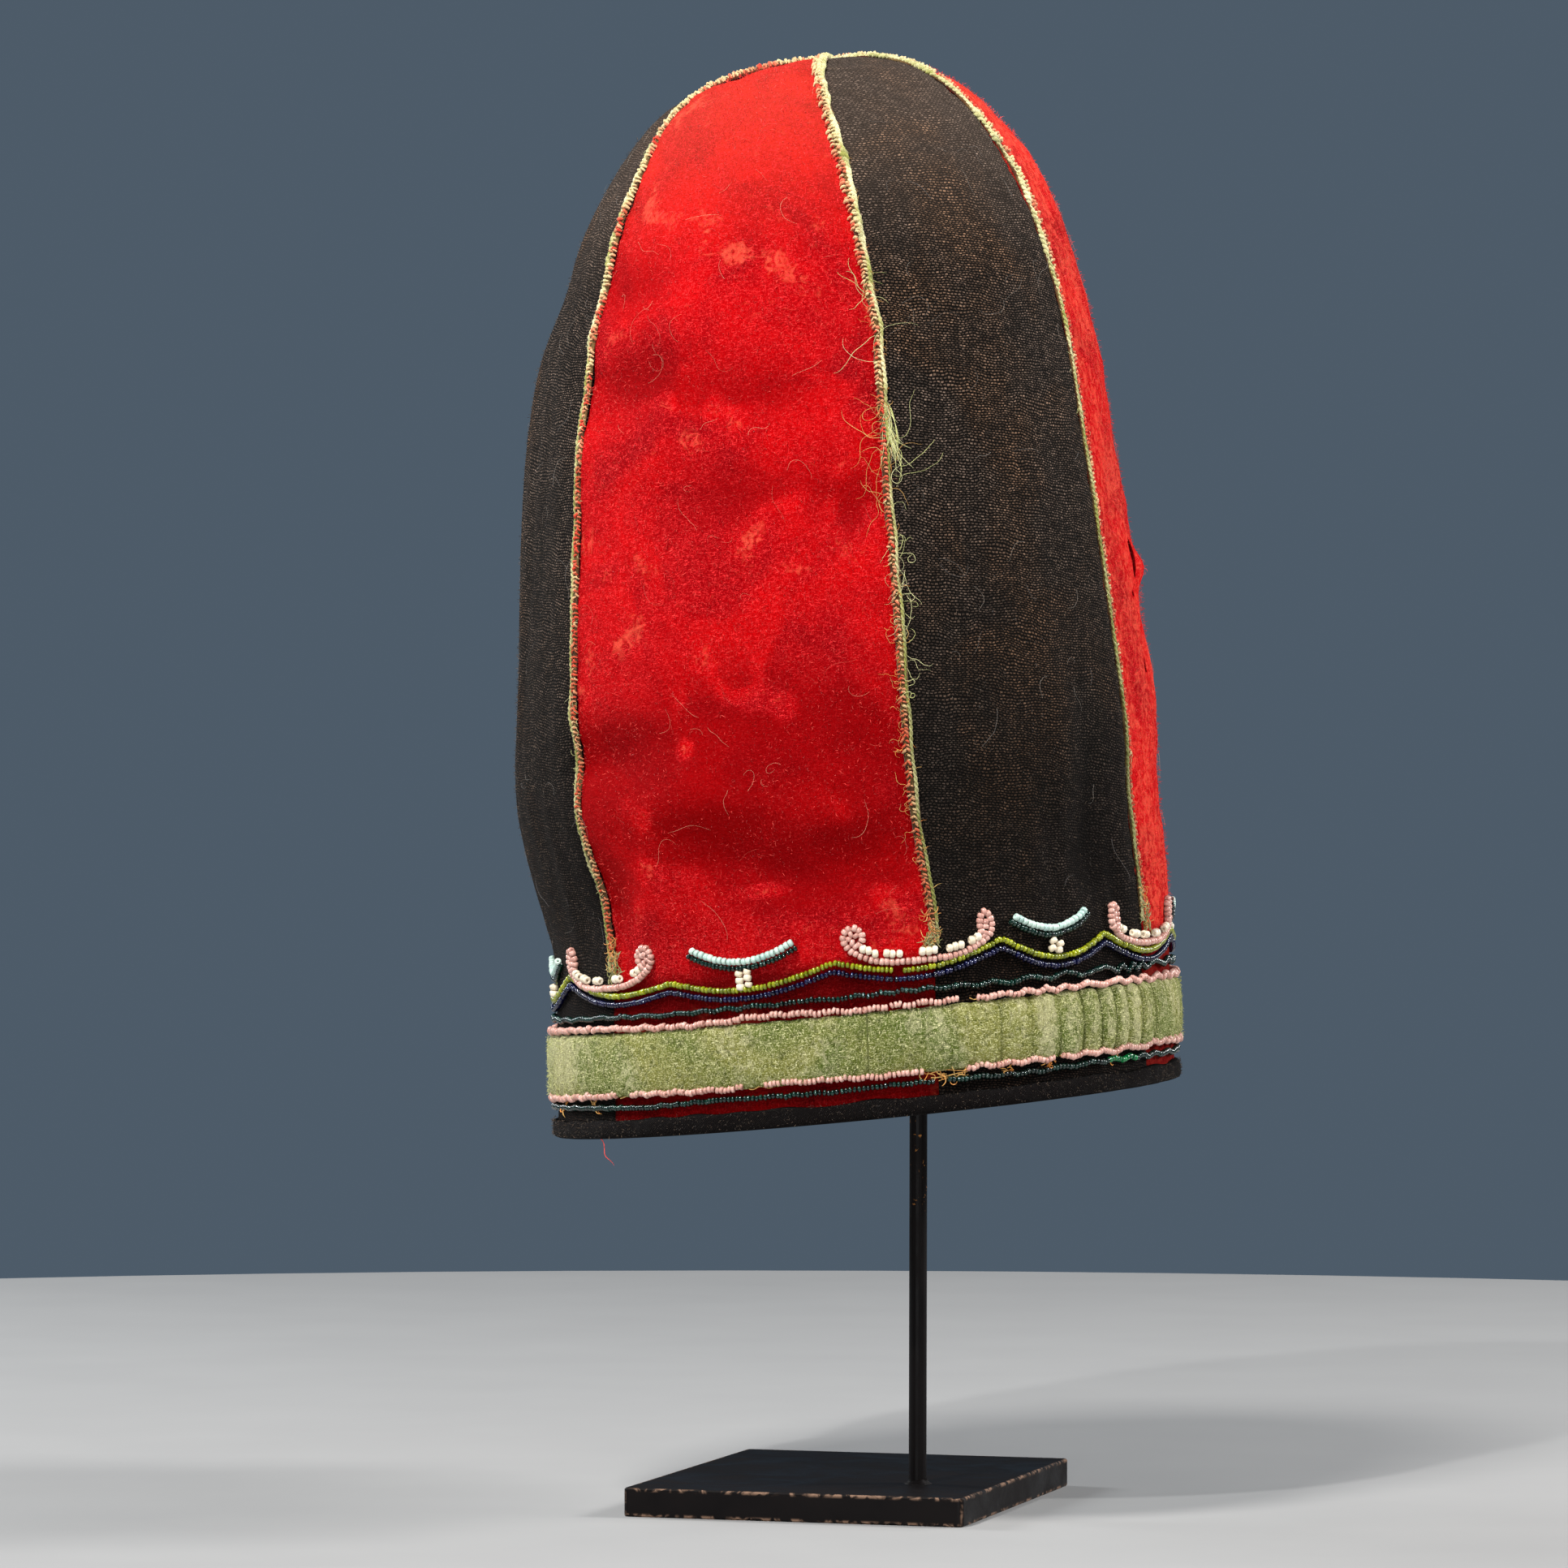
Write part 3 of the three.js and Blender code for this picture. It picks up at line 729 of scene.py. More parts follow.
def make_gore(index, label, spacing, material, slot):
    """One gore of cloth, a closed shell with its face's coordinates in millimetres of cloth."""
    start = SEAM_ANGLES[index]
    width = (SEAM_ANGLES[(index + 1) % 6] - start) % 360
    lowest = length_at(along_at(BINDING_THICKNESS + TRIM_CLEARANCE))
    highest = LENGTHS[-1] - OPEN_AT_CROWN
    rows = int((highest - lowest) / spacing)
    columns = int(math.radians(width) * CAP_DEPTH / 2 / spacing)
    length = np.linspace(lowest, highest, rows + 1)[:, None]
    along = along_length(length)
    radius = np.maximum(radius_at(along), 1.0)
    edge = np.degrees(SEAM_HALF_GAP / radius)
    across = np.linspace(0, 1, columns + 1)[None, :]
    angle = start + edge + (width - 2 * edge) * across
    along = np.broadcast_to(along, angle.shape)
    uneven = cloth_relief(angle, along)
    outer = cap_point(angle, along, uneven)
    inner = cap_point(angle, along, uneven - CLOTH_THICKNESS)
    loops = there_and_back(outer, inner)
    u = np.radians(angle - start - width / 2) * radius
    flat = np.stack(np.broadcast_arrays(u, length), -1)
    uvs = there_and_back(flat, flat).reshape(-1, 2)
    wear = wear_and_shade_of(index, outer, np.broadcast_to(across, angle.shape), angle)
    # Painted shade: the tone falls in the dents and folds, which the finishes paint darker.
    wear = wear - (2.2 if index % 2 else 1.4) * painted_dent_shade(angle, outer[..., 2] / CAP_HEIGHT)
    faces = loft_faces(rows + 1, loops.shape[1])
    points, tones = loops.reshape(-1, 3), there_and_back(wear, wear)
    gore = make_piece("cloth_" + label, points, faces, material, slot, uvs, tones)
    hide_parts("crown_panel_" + label)
    return gore


def cut_moth_holes(gore):
    """Cuts the ragged moth holes through a gore."""
    random = np.random.default_rng(11)
    plugs = []
    for angle, height, wide, tall in MOTH_HOLES:
        middle, normal = cap_place(angle, along_at(height * CAP_HEIGHT))
        sideways = unit(np.cross([0, 0, 1], normal))
        upward = np.cross(normal, sideways)
        turn = circle(CUTTER_SIDES)
        waves = 0.10 * np.sin(3 * turn + random.uniform(0, 6))
        ragged = 1 + waves + random.normal(0, 0.05, CUTTER_SIDES)
        x = (ragged * np.cos(turn) * wide * CAP_HEIGHT / 2)[:, None] * sideways
        y = (ragged * np.sin(turn) * tall * CAP_HEIGHT / 2)[:, None] * upward
        ring = middle + x + y
        through = CUTTER_REACH * normal
        ends = np.concatenate([ring - through, ring + through])
        plugs.append((ends, loft_faces(2, CUTTER_SIDES)))
    points, faces = join(plugs)
    cutter = make_piece("moth_cutter", points, faces, RED_FELT)
    cut = gore.modifiers.new("moth_holes", "BOOLEAN")
    cut.object = cutter
    cut.operation = "DIFFERENCE"
    cut.solver = "EXACT"
    depsgraph = bpy.context.evaluated_depsgraph_get()
    holed = bpy.data.meshes.new_from_object(gore.evaluated_get(depsgraph))
    gore.modifiers.clear()
    gore.data = holed
    bpy.data.objects.remove(cutter)


for index in range(6):
    shade, finish = ("black", BLACK_WEAVE) if index % 2 else ("red", RED_FELT)
    spacing = BACK_SPACING if index in BACK_GORES else FRONT_SPACING
    gore = make_gore(index, f"{shade}_{index // 2 + 1}", spacing, finish, f"{shade}_wool")
    if index == 2:
        cut_moth_holes(gore)

# The cords over the seams

SEAM_FIRST = length_at(along_at(PIPING_BOTTOM))
SEAM_LAST = LENGTHS[-1] - 2.2
BED_STEP = 1.4
BED_HALF_WIDTH = 1.4
BED_HALF_HEIGHT = 0.5
CORD_STEP = 0.6
CORD_TWIST = 3.1
STITCH_PITCH = 1.22


def seam_line(angle, step, first=SEAM_FIRST, last=SEAM_LAST):
    """Points along a seam with their outward and sideways directions and lengths."""
    length = np.arange(first, last, step)
    along = along_length(length)
    points, outward = cap_place(np.full_like(length, angle), along)
    sideways = unit(smooth_point(angle + 1.0, along) - smooth_point(angle - 1.0, along))
    return points, outward, sideways, length


def make_bed(number, angle):
    """The low strip that the cord and stitches of a seam lie on."""
    points, outward, sideways, _ = seam_line(angle, BED_STEP)
    sides = 8
    turn = (circle(sides) + math.pi / sides)[:, None]
    swell = 1 + 0.10 * soft_noise(points, 9, 7)[:, None, None]
    flat = sideways[:, None] * np.cos(turn) * BED_HALF_WIDTH * swell
    high = outward[:, None] * (0.1 + np.sin(turn) * BED_HALF_HEIGHT * swell)
    tones = np.repeat(np.clip(0.5 + 0.5 * soft_noise(points, 5, 8), 0, 1), sides)
    faces = loft_faces(len(points), sides)
    points = (points[:, None] + flat + high).reshape(-1, 3)
    name, finish = f"seam_bed_{number}", THREAD["cord_bed"]
    bed = make_piece(name, points, faces, finish, "yellow_green_cord", tones=tones)
    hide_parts(f"seam_piping_{number}")


def make_cord(number, angle, red_side):
    """Two strands twisted together along the black gore's side, lumpier towards the crown."""
    points, outward, sideways, length = seam_line(angle, CORD_STEP)

    def uneven(size, seed):
        return soft_noise(points, size, seed + number)

    sides = 5
    high = smoothstep(length, 190, 255)
    lane = -red_side * (0.78 - 0.2 * high) + 0.18 * uneven(14, 20)
    twist = 2 * math.pi * length / CORD_TWIST + 0.9 * uneven(25, 30)
    lumps = 1 + 0.35 * high * (0.6 + uneven(5, 55)) + 0.14 * uneven(6, 50)
    strands, tones = [], []
    for strand in (0, math.pi):
        x = lane + 0.28 * lumps * np.cos(twist + strand)
        z = 0.55 + 0.26 * lumps * np.sin(twist + strand) + 0.08 * uneven(11, 40)
        path = points + sideways * x[:, None] + outward * z[:, None]
        radius = (0.30 + 0.12 * high) * np.maximum(lumps, 0.6)
        strands.append(tubes(path[None], radius[None], sides, outward[None]))
        tone = 0.25 + 0.55 * high + 0.35 * uneven(12, 60) + (0.12 if strand else -0.12)
        tones.append(np.repeat(np.clip(tone, 0, 1), sides))
    name, tones = f"seam_cord_{number}", np.concatenate(tones)
    make_piece(name, *join(strands), THREAD["cord"], "yellow_green_cord", tones=tones)


# Columns of stitches: reach across the seam at five places, and lower and base tone of the outer one
STITCH_COLUMNS = [
    ([-0.30, 0.0, 0.25, 0.50, 0.72], 0.0, 0.36, 0.06),
    ([1.75, 1.55, 1.25, 0.98, 0.78], 0.15, 0.04, 0.16),
]


def make_chain(number, angle, red_side):
    """Two columns of short fat stitches that meet in points, the outer one mostly red."""
    random = np.random.default_rng(100 + number)
    points, outward, sideways, length = seam_line(angle, STITCH_PITCH, SEAM_FIRST + 0.4, SEAM_LAST - 0.6)
    upward = unit(np.gradient(points, axis=0))
    count = len(points)
    high = smoothstep(length, 200, 262)[:, None]
    rise = np.array([0.25, 0.82, 1.0, 0.85, 0.3])
    columns, tones = [], []
    for reach, lower, base, missing in STITCH_COLUMNS:
        width = random.uniform(0.65, 1.15, (count, 1)) * (1 + 0.25 * high)
        slant = random.normal(0.55, 0.35, (count, 1)) * (1 - 0.4 * high)
        sweep = np.linspace(-0.25, 1.0, 5) * slant + random.normal(0.2, 0.18, (count, 1))
        lift = rise * random.uniform(0.75, 1.25, (count, 1)) - lower
        paths = (
            points[:, None]
            + sideways[:, None] * (red_side * np.array(reach) * width)[..., None]
            + outward[:, None] * (lift * (1 + 0.3 * high))[..., None]
            + upward[:, None] * sweep[..., None]
        )
        kept = random.random(count) > missing
        taper = np.array([0.7, 1, 1.05, 1, 0.7])
        radius = random.uniform(0.20, 0.40, (count, 1)) * taper * (1 + 0.3 * high)
        columns.append(tubes(paths[kept], radius[kept], 5, outward[kept, None]))
        tone = base + 0.6 * high[:, 0] + 0.3 * soft_noise(points, 16, 70 + number)
        tone = tone + random.normal(0, 0.3, count)
        tones.append(np.repeat(np.clip(tone[kept], 0, 1), 25))
    name, tones = f"seam_stitches_{number}", np.concatenate(tones)
    make_piece(name, *join(columns), THREAD["stitches"], "yellow_green_cord", tones=tones)


for number, angle in enumerate(SEAM_ANGLES, 1):
    red_side = 1 if number % 2 else -1
    make_bed(number, float(angle))
    make_cord(number, float(angle), red_side)
    make_chain(number, float(angle), red_side)


def make_crown_knot():
    """The knot of thread where the cords meet at the crown."""
    random = np.random.default_rng(9)
    centre = cap_point(0.0, 1.0, 0.6)
    rings, steps, sides = 26, 15, 5
    turn = np.linspace(0, 2 * math.pi, steps)
    paths = []
    for _ in range(rings):
        tilt = random.uniform(0, math.pi)
        size = random.uniform(1.4, 2.6)
        x = size * np.cos(turn)
        y = size * random.uniform(0.35, 0.8) * np.sin(turn)
        turned_x = x * math.cos(tilt) - y * math.sin(tilt)
        turned_y = x * math.sin(tilt) + y * math.cos(tilt)
        high = 1.5 * np.exp(-((np.hypot(x, y) / 1.9) ** 2)) + random.uniform(-0.2, 0.5)
        paths.append(centre + np.stack([turned_x, turned_y, high], -1))
    points, faces = tubes(paths, 0.38, sides, np.array([0.02, 0.03, 1]))
    tones = np.repeat(random.random(rings), steps * sides)
    make_piece("crown_knot", points, faces, THREAD["cord"], "yellow_green_cord", tones=tones)


make_crown_knot()

# The green band and the bound rim

GATHER_DEGREES = 5.0
BAND_COLUMNS = 1080
BINDING_COLUMNS = 480


def round_cap(angle, height=0):
    """The circle that the unevenness of the trim is read on."""
    turn = np.radians(angle)
    return np.stack([CAP_WIDTH / 2 * np.cos(turn), CAP_WIDTH / 2 * np.sin(turn), height + 0 * turn], -1)


def gather_beat(angle):
    """1 on the folds of the gathered band and 0 in the creases between them."""
    return np.abs(np.sin(math.pi * angle / GATHER_DEGREES + 0.9 * soft_noise(round_cap(angle), 34, 80))) ** 0.75


def ring_piece(name, outline, columns, material, slot, shape):
    """A ring round the cap through a closed outline of heights and offsets, shaped by a function."""
    angle = np.linspace(0, 360, columns, endpoint=False)[:, None]
    outline = np.array(outline)
    angle, height, offset = np.broadcast_arrays(angle, outline[None, :, 0], outline[None, :, 1])
    height, offset = shape(angle, height, offset)
    points = cap_point(angle, along_at(height), offset)
    around = np.radians(angle) * CAP_WIDTH / 2
    steps = 60 + np.array([[0, *np.cumsum(np.hypot(*np.diff(outline, axis=0).T))]])
    uvs = np.stack(np.broadcast_arrays(around, steps), -1).reshape(-1, 2)
    wear = smoothstep(soft_noise(points, 22, 15), -1.2, 1.4)
    if material is GREEN_FELT:
        # The band's tone rises on its left side and front right, painted sheen, and falls in the creases of its
        # gathers, painted shade.
        right = bell(angle, 47, 30)
        crease_shade = 2.3 * right * (1 - gather_beat(angle)) ** 2
        wear = 0.6 * wear + bell(angle, -82, 26) + 0.75 * right - crease_shade
    faces = loft_faces(columns, len(outline), ring=True)
    return make_piece(name, points.reshape(-1, 3), faces, material, slot, uvs, wear.reshape(-1))


def band_shape(angle, height, offset):
    """Gathers of the band between its stitches, strongest on the front right."""
    amount = 0.12 + 1.3 * bell(angle, 46, 27) + 0.35 * bell(angle, -72, 14)
    beat = gather_beat(angle)
    middle = (BAND_TOP + BAND_BOTTOM) / 2
    edge = np.abs(height - middle) / (BAND_TOP - middle)
    gather = amount * (beat - 0.75) * (0.6 + 0.9 * edge**2)
    high = height + 0.35 * np.sign(height - middle) * edge**6 * (beat - 0.6) * (0.6 + amount)
    uneven = 0.16 * soft_noise(round_cap(angle, height), 8, 81)
    outer_share = np.clip((offset - TRIM_CLEARANCE) / BAND_THICKNESS, 0, 1)
    return high, offset + (gather + uneven) * outer_share


def binding_shape(angle, height, offset):
    """Waves of the tape, and an uneven upper edge."""
    flat = round_cap(angle, height)
    wave = 0.16 * soft_noise(flat, 12, 90) + 0.10 * soft_noise(flat * [1, 1, 0.4], 3.5, 91)
    top = np.clip((height - 3) / 2, 0, 1)
    outwards = np.where(offset > -CLOTH_THICKNESS / 2, 1, -1)
    return height + 0.3 * top * soft_noise(flat * [1, 1, 0], 15, 92), offset + wave * outwards


inner, outer = TRIM_CLEARANCE, TRIM_CLEARANCE + BAND_THICKNESS
BAND_OUTLINE = [
    (BAND_BOTTOM, inner),
    (BAND_BOTTOM - 0.1, inner + 0.5),
    (BAND_BOTTOM + 0.1, inner + 1.1),
    (BAND_BOTTOM + 0.9, outer - 0.3),
    (BAND_BOTTOM + 2.2, outer + 0.2),
    (BAND_BOTTOM + 5, outer + 0.6),
    (BAND_BOTTOM + 8.7, outer + 0.75),
    (BAND_TOP - 5, outer + 0.65),
    (BAND_TOP - 2.2, outer + 0.3),
    (BAND_TOP - 0.9, outer - 0.2),
    (BAND_TOP - 0.1, inner + 1.1),
    (BAND_TOP + 0.1, inner + 0.5),
    (BAND_TOP, inner),
]
band = ring_piece("felt_band", BAND_OUTLINE, BAND_COLUMNS, GREEN_FELT, "green_wool", band_shape)
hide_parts("green_band")

outer = TRIM_CLEARANCE + BINDING_THICKNESS
inner = -CLOTH_THICKNESS - TRIM_CLEARANCE - BINDING_THICKNESS
BINDING_OUTLINE = [
    (BINDING_HEIGHT - 0.4, outer - 0.15),
    (3.6, outer + 0.05),
    (2.2, outer + 0.1),
    (1.0, outer),
    (0.3, outer - 0.45),
    (0.0, outer - 1.2),
    (0.0, inner + 1.2),
    (0.3, inner + 0.45),
    (1.0, inner),
    (3.0, inner),
    (BINDING_HEIGHT, inner + 0.2),
    (BINDING_HEIGHT, inner + BINDING_THICKNESS),
    (BINDING_THICKNESS, inner + BINDING_THICKNESS),
    (BINDING_THICKNESS, TRIM_CLEARANCE),
    (BINDING_HEIGHT, TRIM_CLEARANCE),
]
binding = ring_piece(
    "tape_binding", BINDING_OUTLINE, BINDING_COLUMNS, DARK_TAPE, "dark_tape", binding_shape
)
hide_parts("rim_binding")

# Beads

# Outlines of a bead's wall, as shares of its diameter and of its length
ROUND = [(0.17, -0.36), (0.34, -0.49), (0.48, -0.27), (0.48, 0.27), (0.34, 0.49), (0.17, 0.36)]
FLAT = [(0.14, -0.48), (0.47, -0.29), (0.47, 0.29), (0.14, 0.48)]
SHARP = [(0.16, -0.48), (0.42, -0.34), (0.51, 0.0), (0.42, 0.34), (0.16, 0.48)]

# Kinds of bead: diameter, length along the string, pitch and outline
OPAQUE = (2.10, 1.44, 1.47, ROUND)
LARGE = (2.45, 1.74, 1.80, ROUND)
DISC = (1.95, 1.26, 1.24, FLAT)
SMALL = (1.80, 1.24, 1.20, SHARP)
BEAD_SIDES = 8
ROW_STEPS = 2400
BORDER_RADIUS = CAP_WIDTH / 2 * 1.03
# How far the navy line lies under the scalloped one
NAVY_DROP = 2.4

# The scalloped line of the border: where it peaks, how high, and how high its next dip is
SCALLOPS = [
    (-68.8, 45.7, 39.4),
    (-37.5, 41.7, 38.3),
    (-6.0, 43.4, 39.7),
    (24.7, 45.5, 38.9),
    (48.7, 43.8, 37.6),
    (78.1, 43.0, 38.6),
    (112.0, 44.0, 39.2),
    (142.0, 43.6, 38.5),
    (168.5, 44.4, 39.3),
    (197.5, 43.2, 38.4),
    (230.0, 44.2, 39.4),
    (261.0, 43.5, 38.8),
]

# Scrolls over the seams: middle, dip below, the form of the left and right curl, and the white
# beads inside as places along with how many there are
SCROLLS = [
    (-55.0, 39.4, "hairpin", "round", [(-16, 2), (-11, 2), (-3, 2), (7, 2), (15.5, 2)]),
    (9.4, 39.7, "round", "hairpin", [(-16.5, 1), (-14, 2), (-8, 3), (2.5, 3), (10.5, 3), (16.5, 2)]),
    (64.4, 37.7, "hairpin", "hairpin", [(-17, 2), (-11, 2), (-4, 2), (4, 2), (14, 2)]),
    (129.0, 39.2, "round", "hairpin", [(-15, 2), (-8, 3), (1, 2), (9, 3), (16, 2)]),
    (181.5, 39.3, "hairpin", "round", [(-16, 2), (-9, 2), (0, 3), (8, 2), (15, 2)]),
    (246.0, 39.4, "round", "round", [(-15, 3), (-6, 2), (3, 3), (13, 2)]),
]

# Arcs on the gores: middle, half width and height of the lowest bead
ARCS = [
    (-22.6, 16.2, 46.1),
    (35.8, 13.8, 47.0),
    (95.6, 15.0, 46.4),
    (155.0, 14.0, 46.2),
    (213.7, 15.6, 46.0),
    (276.5, 13.6, 46.6),
]


def scallop_height(angle):
    """Height of the scalloped line, pointed at its peaks and rounded in its dips."""
    peaks = np.array([row[0] for row in SCALLOPS] + [SCALLOPS[0][0] + 360])
    tops = np.array([row[1] for row in SCALLOPS] + [SCALLOPS[0][1]])
    dips = np.array([row[2] for row in SCALLOPS])
    turned = np.mod(angle - peaks[0], 360) + peaks[0]
    row = np.clip(np.searchsorted(peaks, turned, side="right") - 1, 0, len(dips) - 1)
    share = (turned - peaks[row]) / (peaks[row + 1] - peaks[row])
    chord = tops[row] * (1 - share) + tops[row + 1] * share
    middle = (tops[row] + tops[row + 1]) / 2
    return chord - (middle - dips[row]) * np.sin(math.pi * share)


def border_place(middle, x, height, offset):
    """A place of the border, a distance x round the cap from a middle angle."""
    degrees = np.degrees(np.asarray(x) / BORDER_RADIUS)
    return cap_place(middle + degrees, along_at(height), offset)


def string(kind, points, outward, gaps=()):
    """Places for beads of a kind strung along a line: middles, directions and outward sides."""
    steps = np.linalg.norm(np.diff(points, axis=0), axis=1)
    run = np.concatenate([[0], np.cumsum(steps)])

    def read(rows, stops):
        return np.stack([np.interp(stops, run, rows[:, axis]) for axis in range(3)], -1)

    pitch = kind[2]
    stops = np.arange(pitch / 2, run[-1] - pitch / 4, pitch)
    middles = read(points, stops)
    sides = unit(read(outward, stops))
    directions = unit(read(points, stops + 0.25) - read(points, stops - 0.25))
    angles = np.degrees(np.arctan2(middles[:, 0], -middles[:, 1] * CAP_WIDTH / CAP_DEPTH))
    kept = np.ones(len(stops), bool)
    for low, high in gaps:
        kept &= ~((angles > low) & (angles < high))
    return middles[kept], directions[kept], sides[kept]


def make_beads(name, kind, strings, glass, seed, loose=1.0):
    """Seed beads of one kind and colour, joined in one piece."""
    random = np.random.default_rng(seed)
    middles, directions, sides = (np.vstack(rows) for rows in zip(*strings))
    count = len(middles)
    directions = unit(directions + random.normal(0, 0.11 * loose, (count, 3)))
    across = unit(np.cross(directions, sides))
    sides = np.cross(across, directions)
    diameter = kind[0] * random.uniform(0.93, 1.06, (count, 1, 1))
    length = kind[1] * random.uniform(0.88, 1.08, (count, 1, 1))
    middles = middles + random.normal(0, 0.07 * loose, (count, 3))
    turn = circle(BEAD_SIDES)[:, None]
    radial, axial = np.array(kind[3]).T
    forward = np.broadcast_to(axial, (BEAD_SIDES, len(axial))).reshape(1, -1, 1)
    right = (np.cos(turn) * radial).reshape(1, -1, 1)
    up = (np.sin(turn) * radial).reshape(1, -1, 1)
    points = (
        middles[:, None]
        + directions[:, None] * forward * length
        + across[:, None] * right * diameter
        + sides[:, None] * up * diameter
    )
    ring = loft_faces(BEAD_SIDES, len(axial), ring=True)
    each = BEAD_SIDES * len(axial)
    faces = (ring[None] + np.arange(count)[:, None, None] * each).reshape(-1, 4)
    tones = np.repeat(random.random(count), each)
    make_piece("beads_" + name, points.reshape(-1, 3), faces, GLASS[glass], tones=tones)


def wander(angle, size, seed):
    """Unevenness of a row of beads, for angles round the cap."""
    return soft_noise(round_cap(angle), size, seed)


def zigzag(angle, pitch, seed):
    """The zigzag of a row held by a stitch after every few beads."""
    beat = angle / pitch + 0.35 * wander(angle, 30, seed)
    return 2 * np.abs(2 * (beat % 1) - 1) - 1


def held_row(level, sway, right_sway, pitch, drift, size, seed):
    """The line of a row that zigzags, more so on the right, and drifts up and down."""

    def height(angle):
        swing = sway + right_sway * bell(angle, 56, 30)
        return level + swing * zigzag(angle, pitch, seed) + drift * wander(angle, size, seed + 1)

    return height


def navy_line(angle):
    return scallop_height(angle) - NAVY_DROP


# Rows round the whole border: name, kind, line, lift off the cloth, gaps in it, glass, seed and
# looseness. One stretch of the lower green row is of a brighter green.
lower_green = held_row(8.6, 0.2, 0.25, 6.1, 0.25, 45, 37)
LOWER_PINK_GAPS = [(-50.0, -46.2), (-21.2, -17.6), (10.6, 18.4), (36.2, 37.8)]
FULL_ROWS = [
    ("pink_upper", DISC, held_row(30.1, 0.32, 0.35, 5.4, 0.25, 40, 31), 1.0, [(18.6, 21.2)], "pink", 1, 1.7),
    ("pink_lower", DISC, held_row(11.6, 0.30, 0.32, 5.9, 0.3, 50, 33), 0.9, LOWER_PINK_GAPS, "pink", 2, 1.8),
    ("green_upper", SMALL, held_row(33.7, 0.3, 0.75, 6.4, 0.3, 60, 35), 0.1, [], "green", 3, 1),
    ("green_lower", SMALL, lower_green, 0.2, [(12.5, 15.5), (49.0, 58.0)], "green", 4, 1),
    ("green_bright", SMALL, lower_green, 0.2, [(-180, 49.0), (58.0, 180)], "bright_green", 11, 1),
    ("lime", SMALL, scallop_height, 0.1, [(7.2, 9.2)], "lime", 5, 1),
    ("navy", SMALL, navy_line, 0.1, [], "navy", 6, 1),
]
for name, kind, line, lift, gaps, glass, seed, loose in FULL_ROWS:
    angle = np.linspace(-179.9, 180, ROW_STEPS)
    points, outward = cap_place(angle, along_at(line(angle)), lift + kind[0] / 2)
    make_beads(name, kind, [string(kind, points, outward, gaps)], glass, seed, loose)


def bowl_height(x):
    """The rise of a scroll's bowl above the dip below it."""
    return 2.25 + 0.00035 * np.abs(x) ** 3 + 0.0000088 * x**4


def curl(form, side):
    """The curl at an end of a scroll, from its outside into its core."""
    is_round = form == "round"
    wide, tall = (2.75, 2.75) if is_round else (1.85, 3.5)
    centre = np.array([19.3, 9.9] if is_round else [20.2, 10.2])
    turn = np.radians(np.linspace(-40, 250, 40))
    ring = centre + np.stack([wide * np.cos(turn), tall * np.sin(turn)], -1)
    inward = np.radians(np.linspace(262, 540, 14))
    core = np.stack([1.15 * np.cos(inward), 1.2 * np.sin(inward)], -1)
    if not is_round:
        core = np.linspace([-0.3, -1.6], [0.1, 1.7], 14)
    return np.vstack([ring, centre + core]) * [side, 1]


scrolls, whites = [], []
for middle, dip, left, right, groups in SCROLLS:
    x = np.linspace(-20.5, 20.5, 60)
    bowl = np.stack([x, bowl_height(x)], -1)
    line = np.vstack([curl(left, -1)[::-1], bowl, curl(right, 1)])
    points, outward = border_place(middle, line[:, 0], dip + line[:, 1], OPAQUE[0] / 2)
    scrolls.append(string(OPAQUE, points, outward))
    for place, count in groups:
        x = place + (np.arange(count) - (count - 1) / 2) * LARGE[2]
        height = dip + bowl_height(x) + 2.2
        points, outward = border_place(middle, x, height, LARGE[0] / 2)
        ahead = border_place(middle, x + 0.5, height + 0.06 * x / 12, LARGE[0] / 2)[0]
        whites.append((points, unit(ahead - points), outward))

mints, arcs = [], []
for middle, half, lowest in ARCS:
    x = np.linspace(-half, half, 60)
    points, outward = border_place(middle, x, lowest + 4.4 * (x / half) ** 2, OPAQUE[0] / 2)
    mints.append(string(OPAQUE, points, outward))
    x = np.linspace(-half - 1.6, half + 1.2, 60)
    points, outward = border_place(middle, x, lowest - 1.85 + 4.0 * (x / half) ** 2, SMALL[0] / 2)
    arcs.append(string(SMALL, points, outward))
    rows = 3 if half > 14.5 else 2
    tilt = 0.35 * math.sin(middle)
    for column in (-0.55, 0.55):
        for row in range(rows):
            across, down = column * LARGE[0], row * LARGE[2] - (rows - 1) * 0.9
            x = np.array([0.6 + across * math.cos(tilt) + down * math.sin(tilt)])
            height = np.array([lowest - 4.9 - down * math.cos(tilt) + across * math.sin(tilt)])
            points, outward = border_place(middle, x, height, LARGE[0] / 2)
            whites.append((points, np.array([[0.3 * column + tilt, 0, 1.0]]), outward))

make_beads("scrolls", OPAQUE, scrolls, "pink", 7)
make_beads("mint_arcs", OPAQUE, mints, "mint", 8, 0.8)
make_beads("green_arcs", SMALL, arcs, "green", 9, 0.8)
make_beads("white", LARGE, whites, "white", 10, 1.3)

# Threads, lint and nap


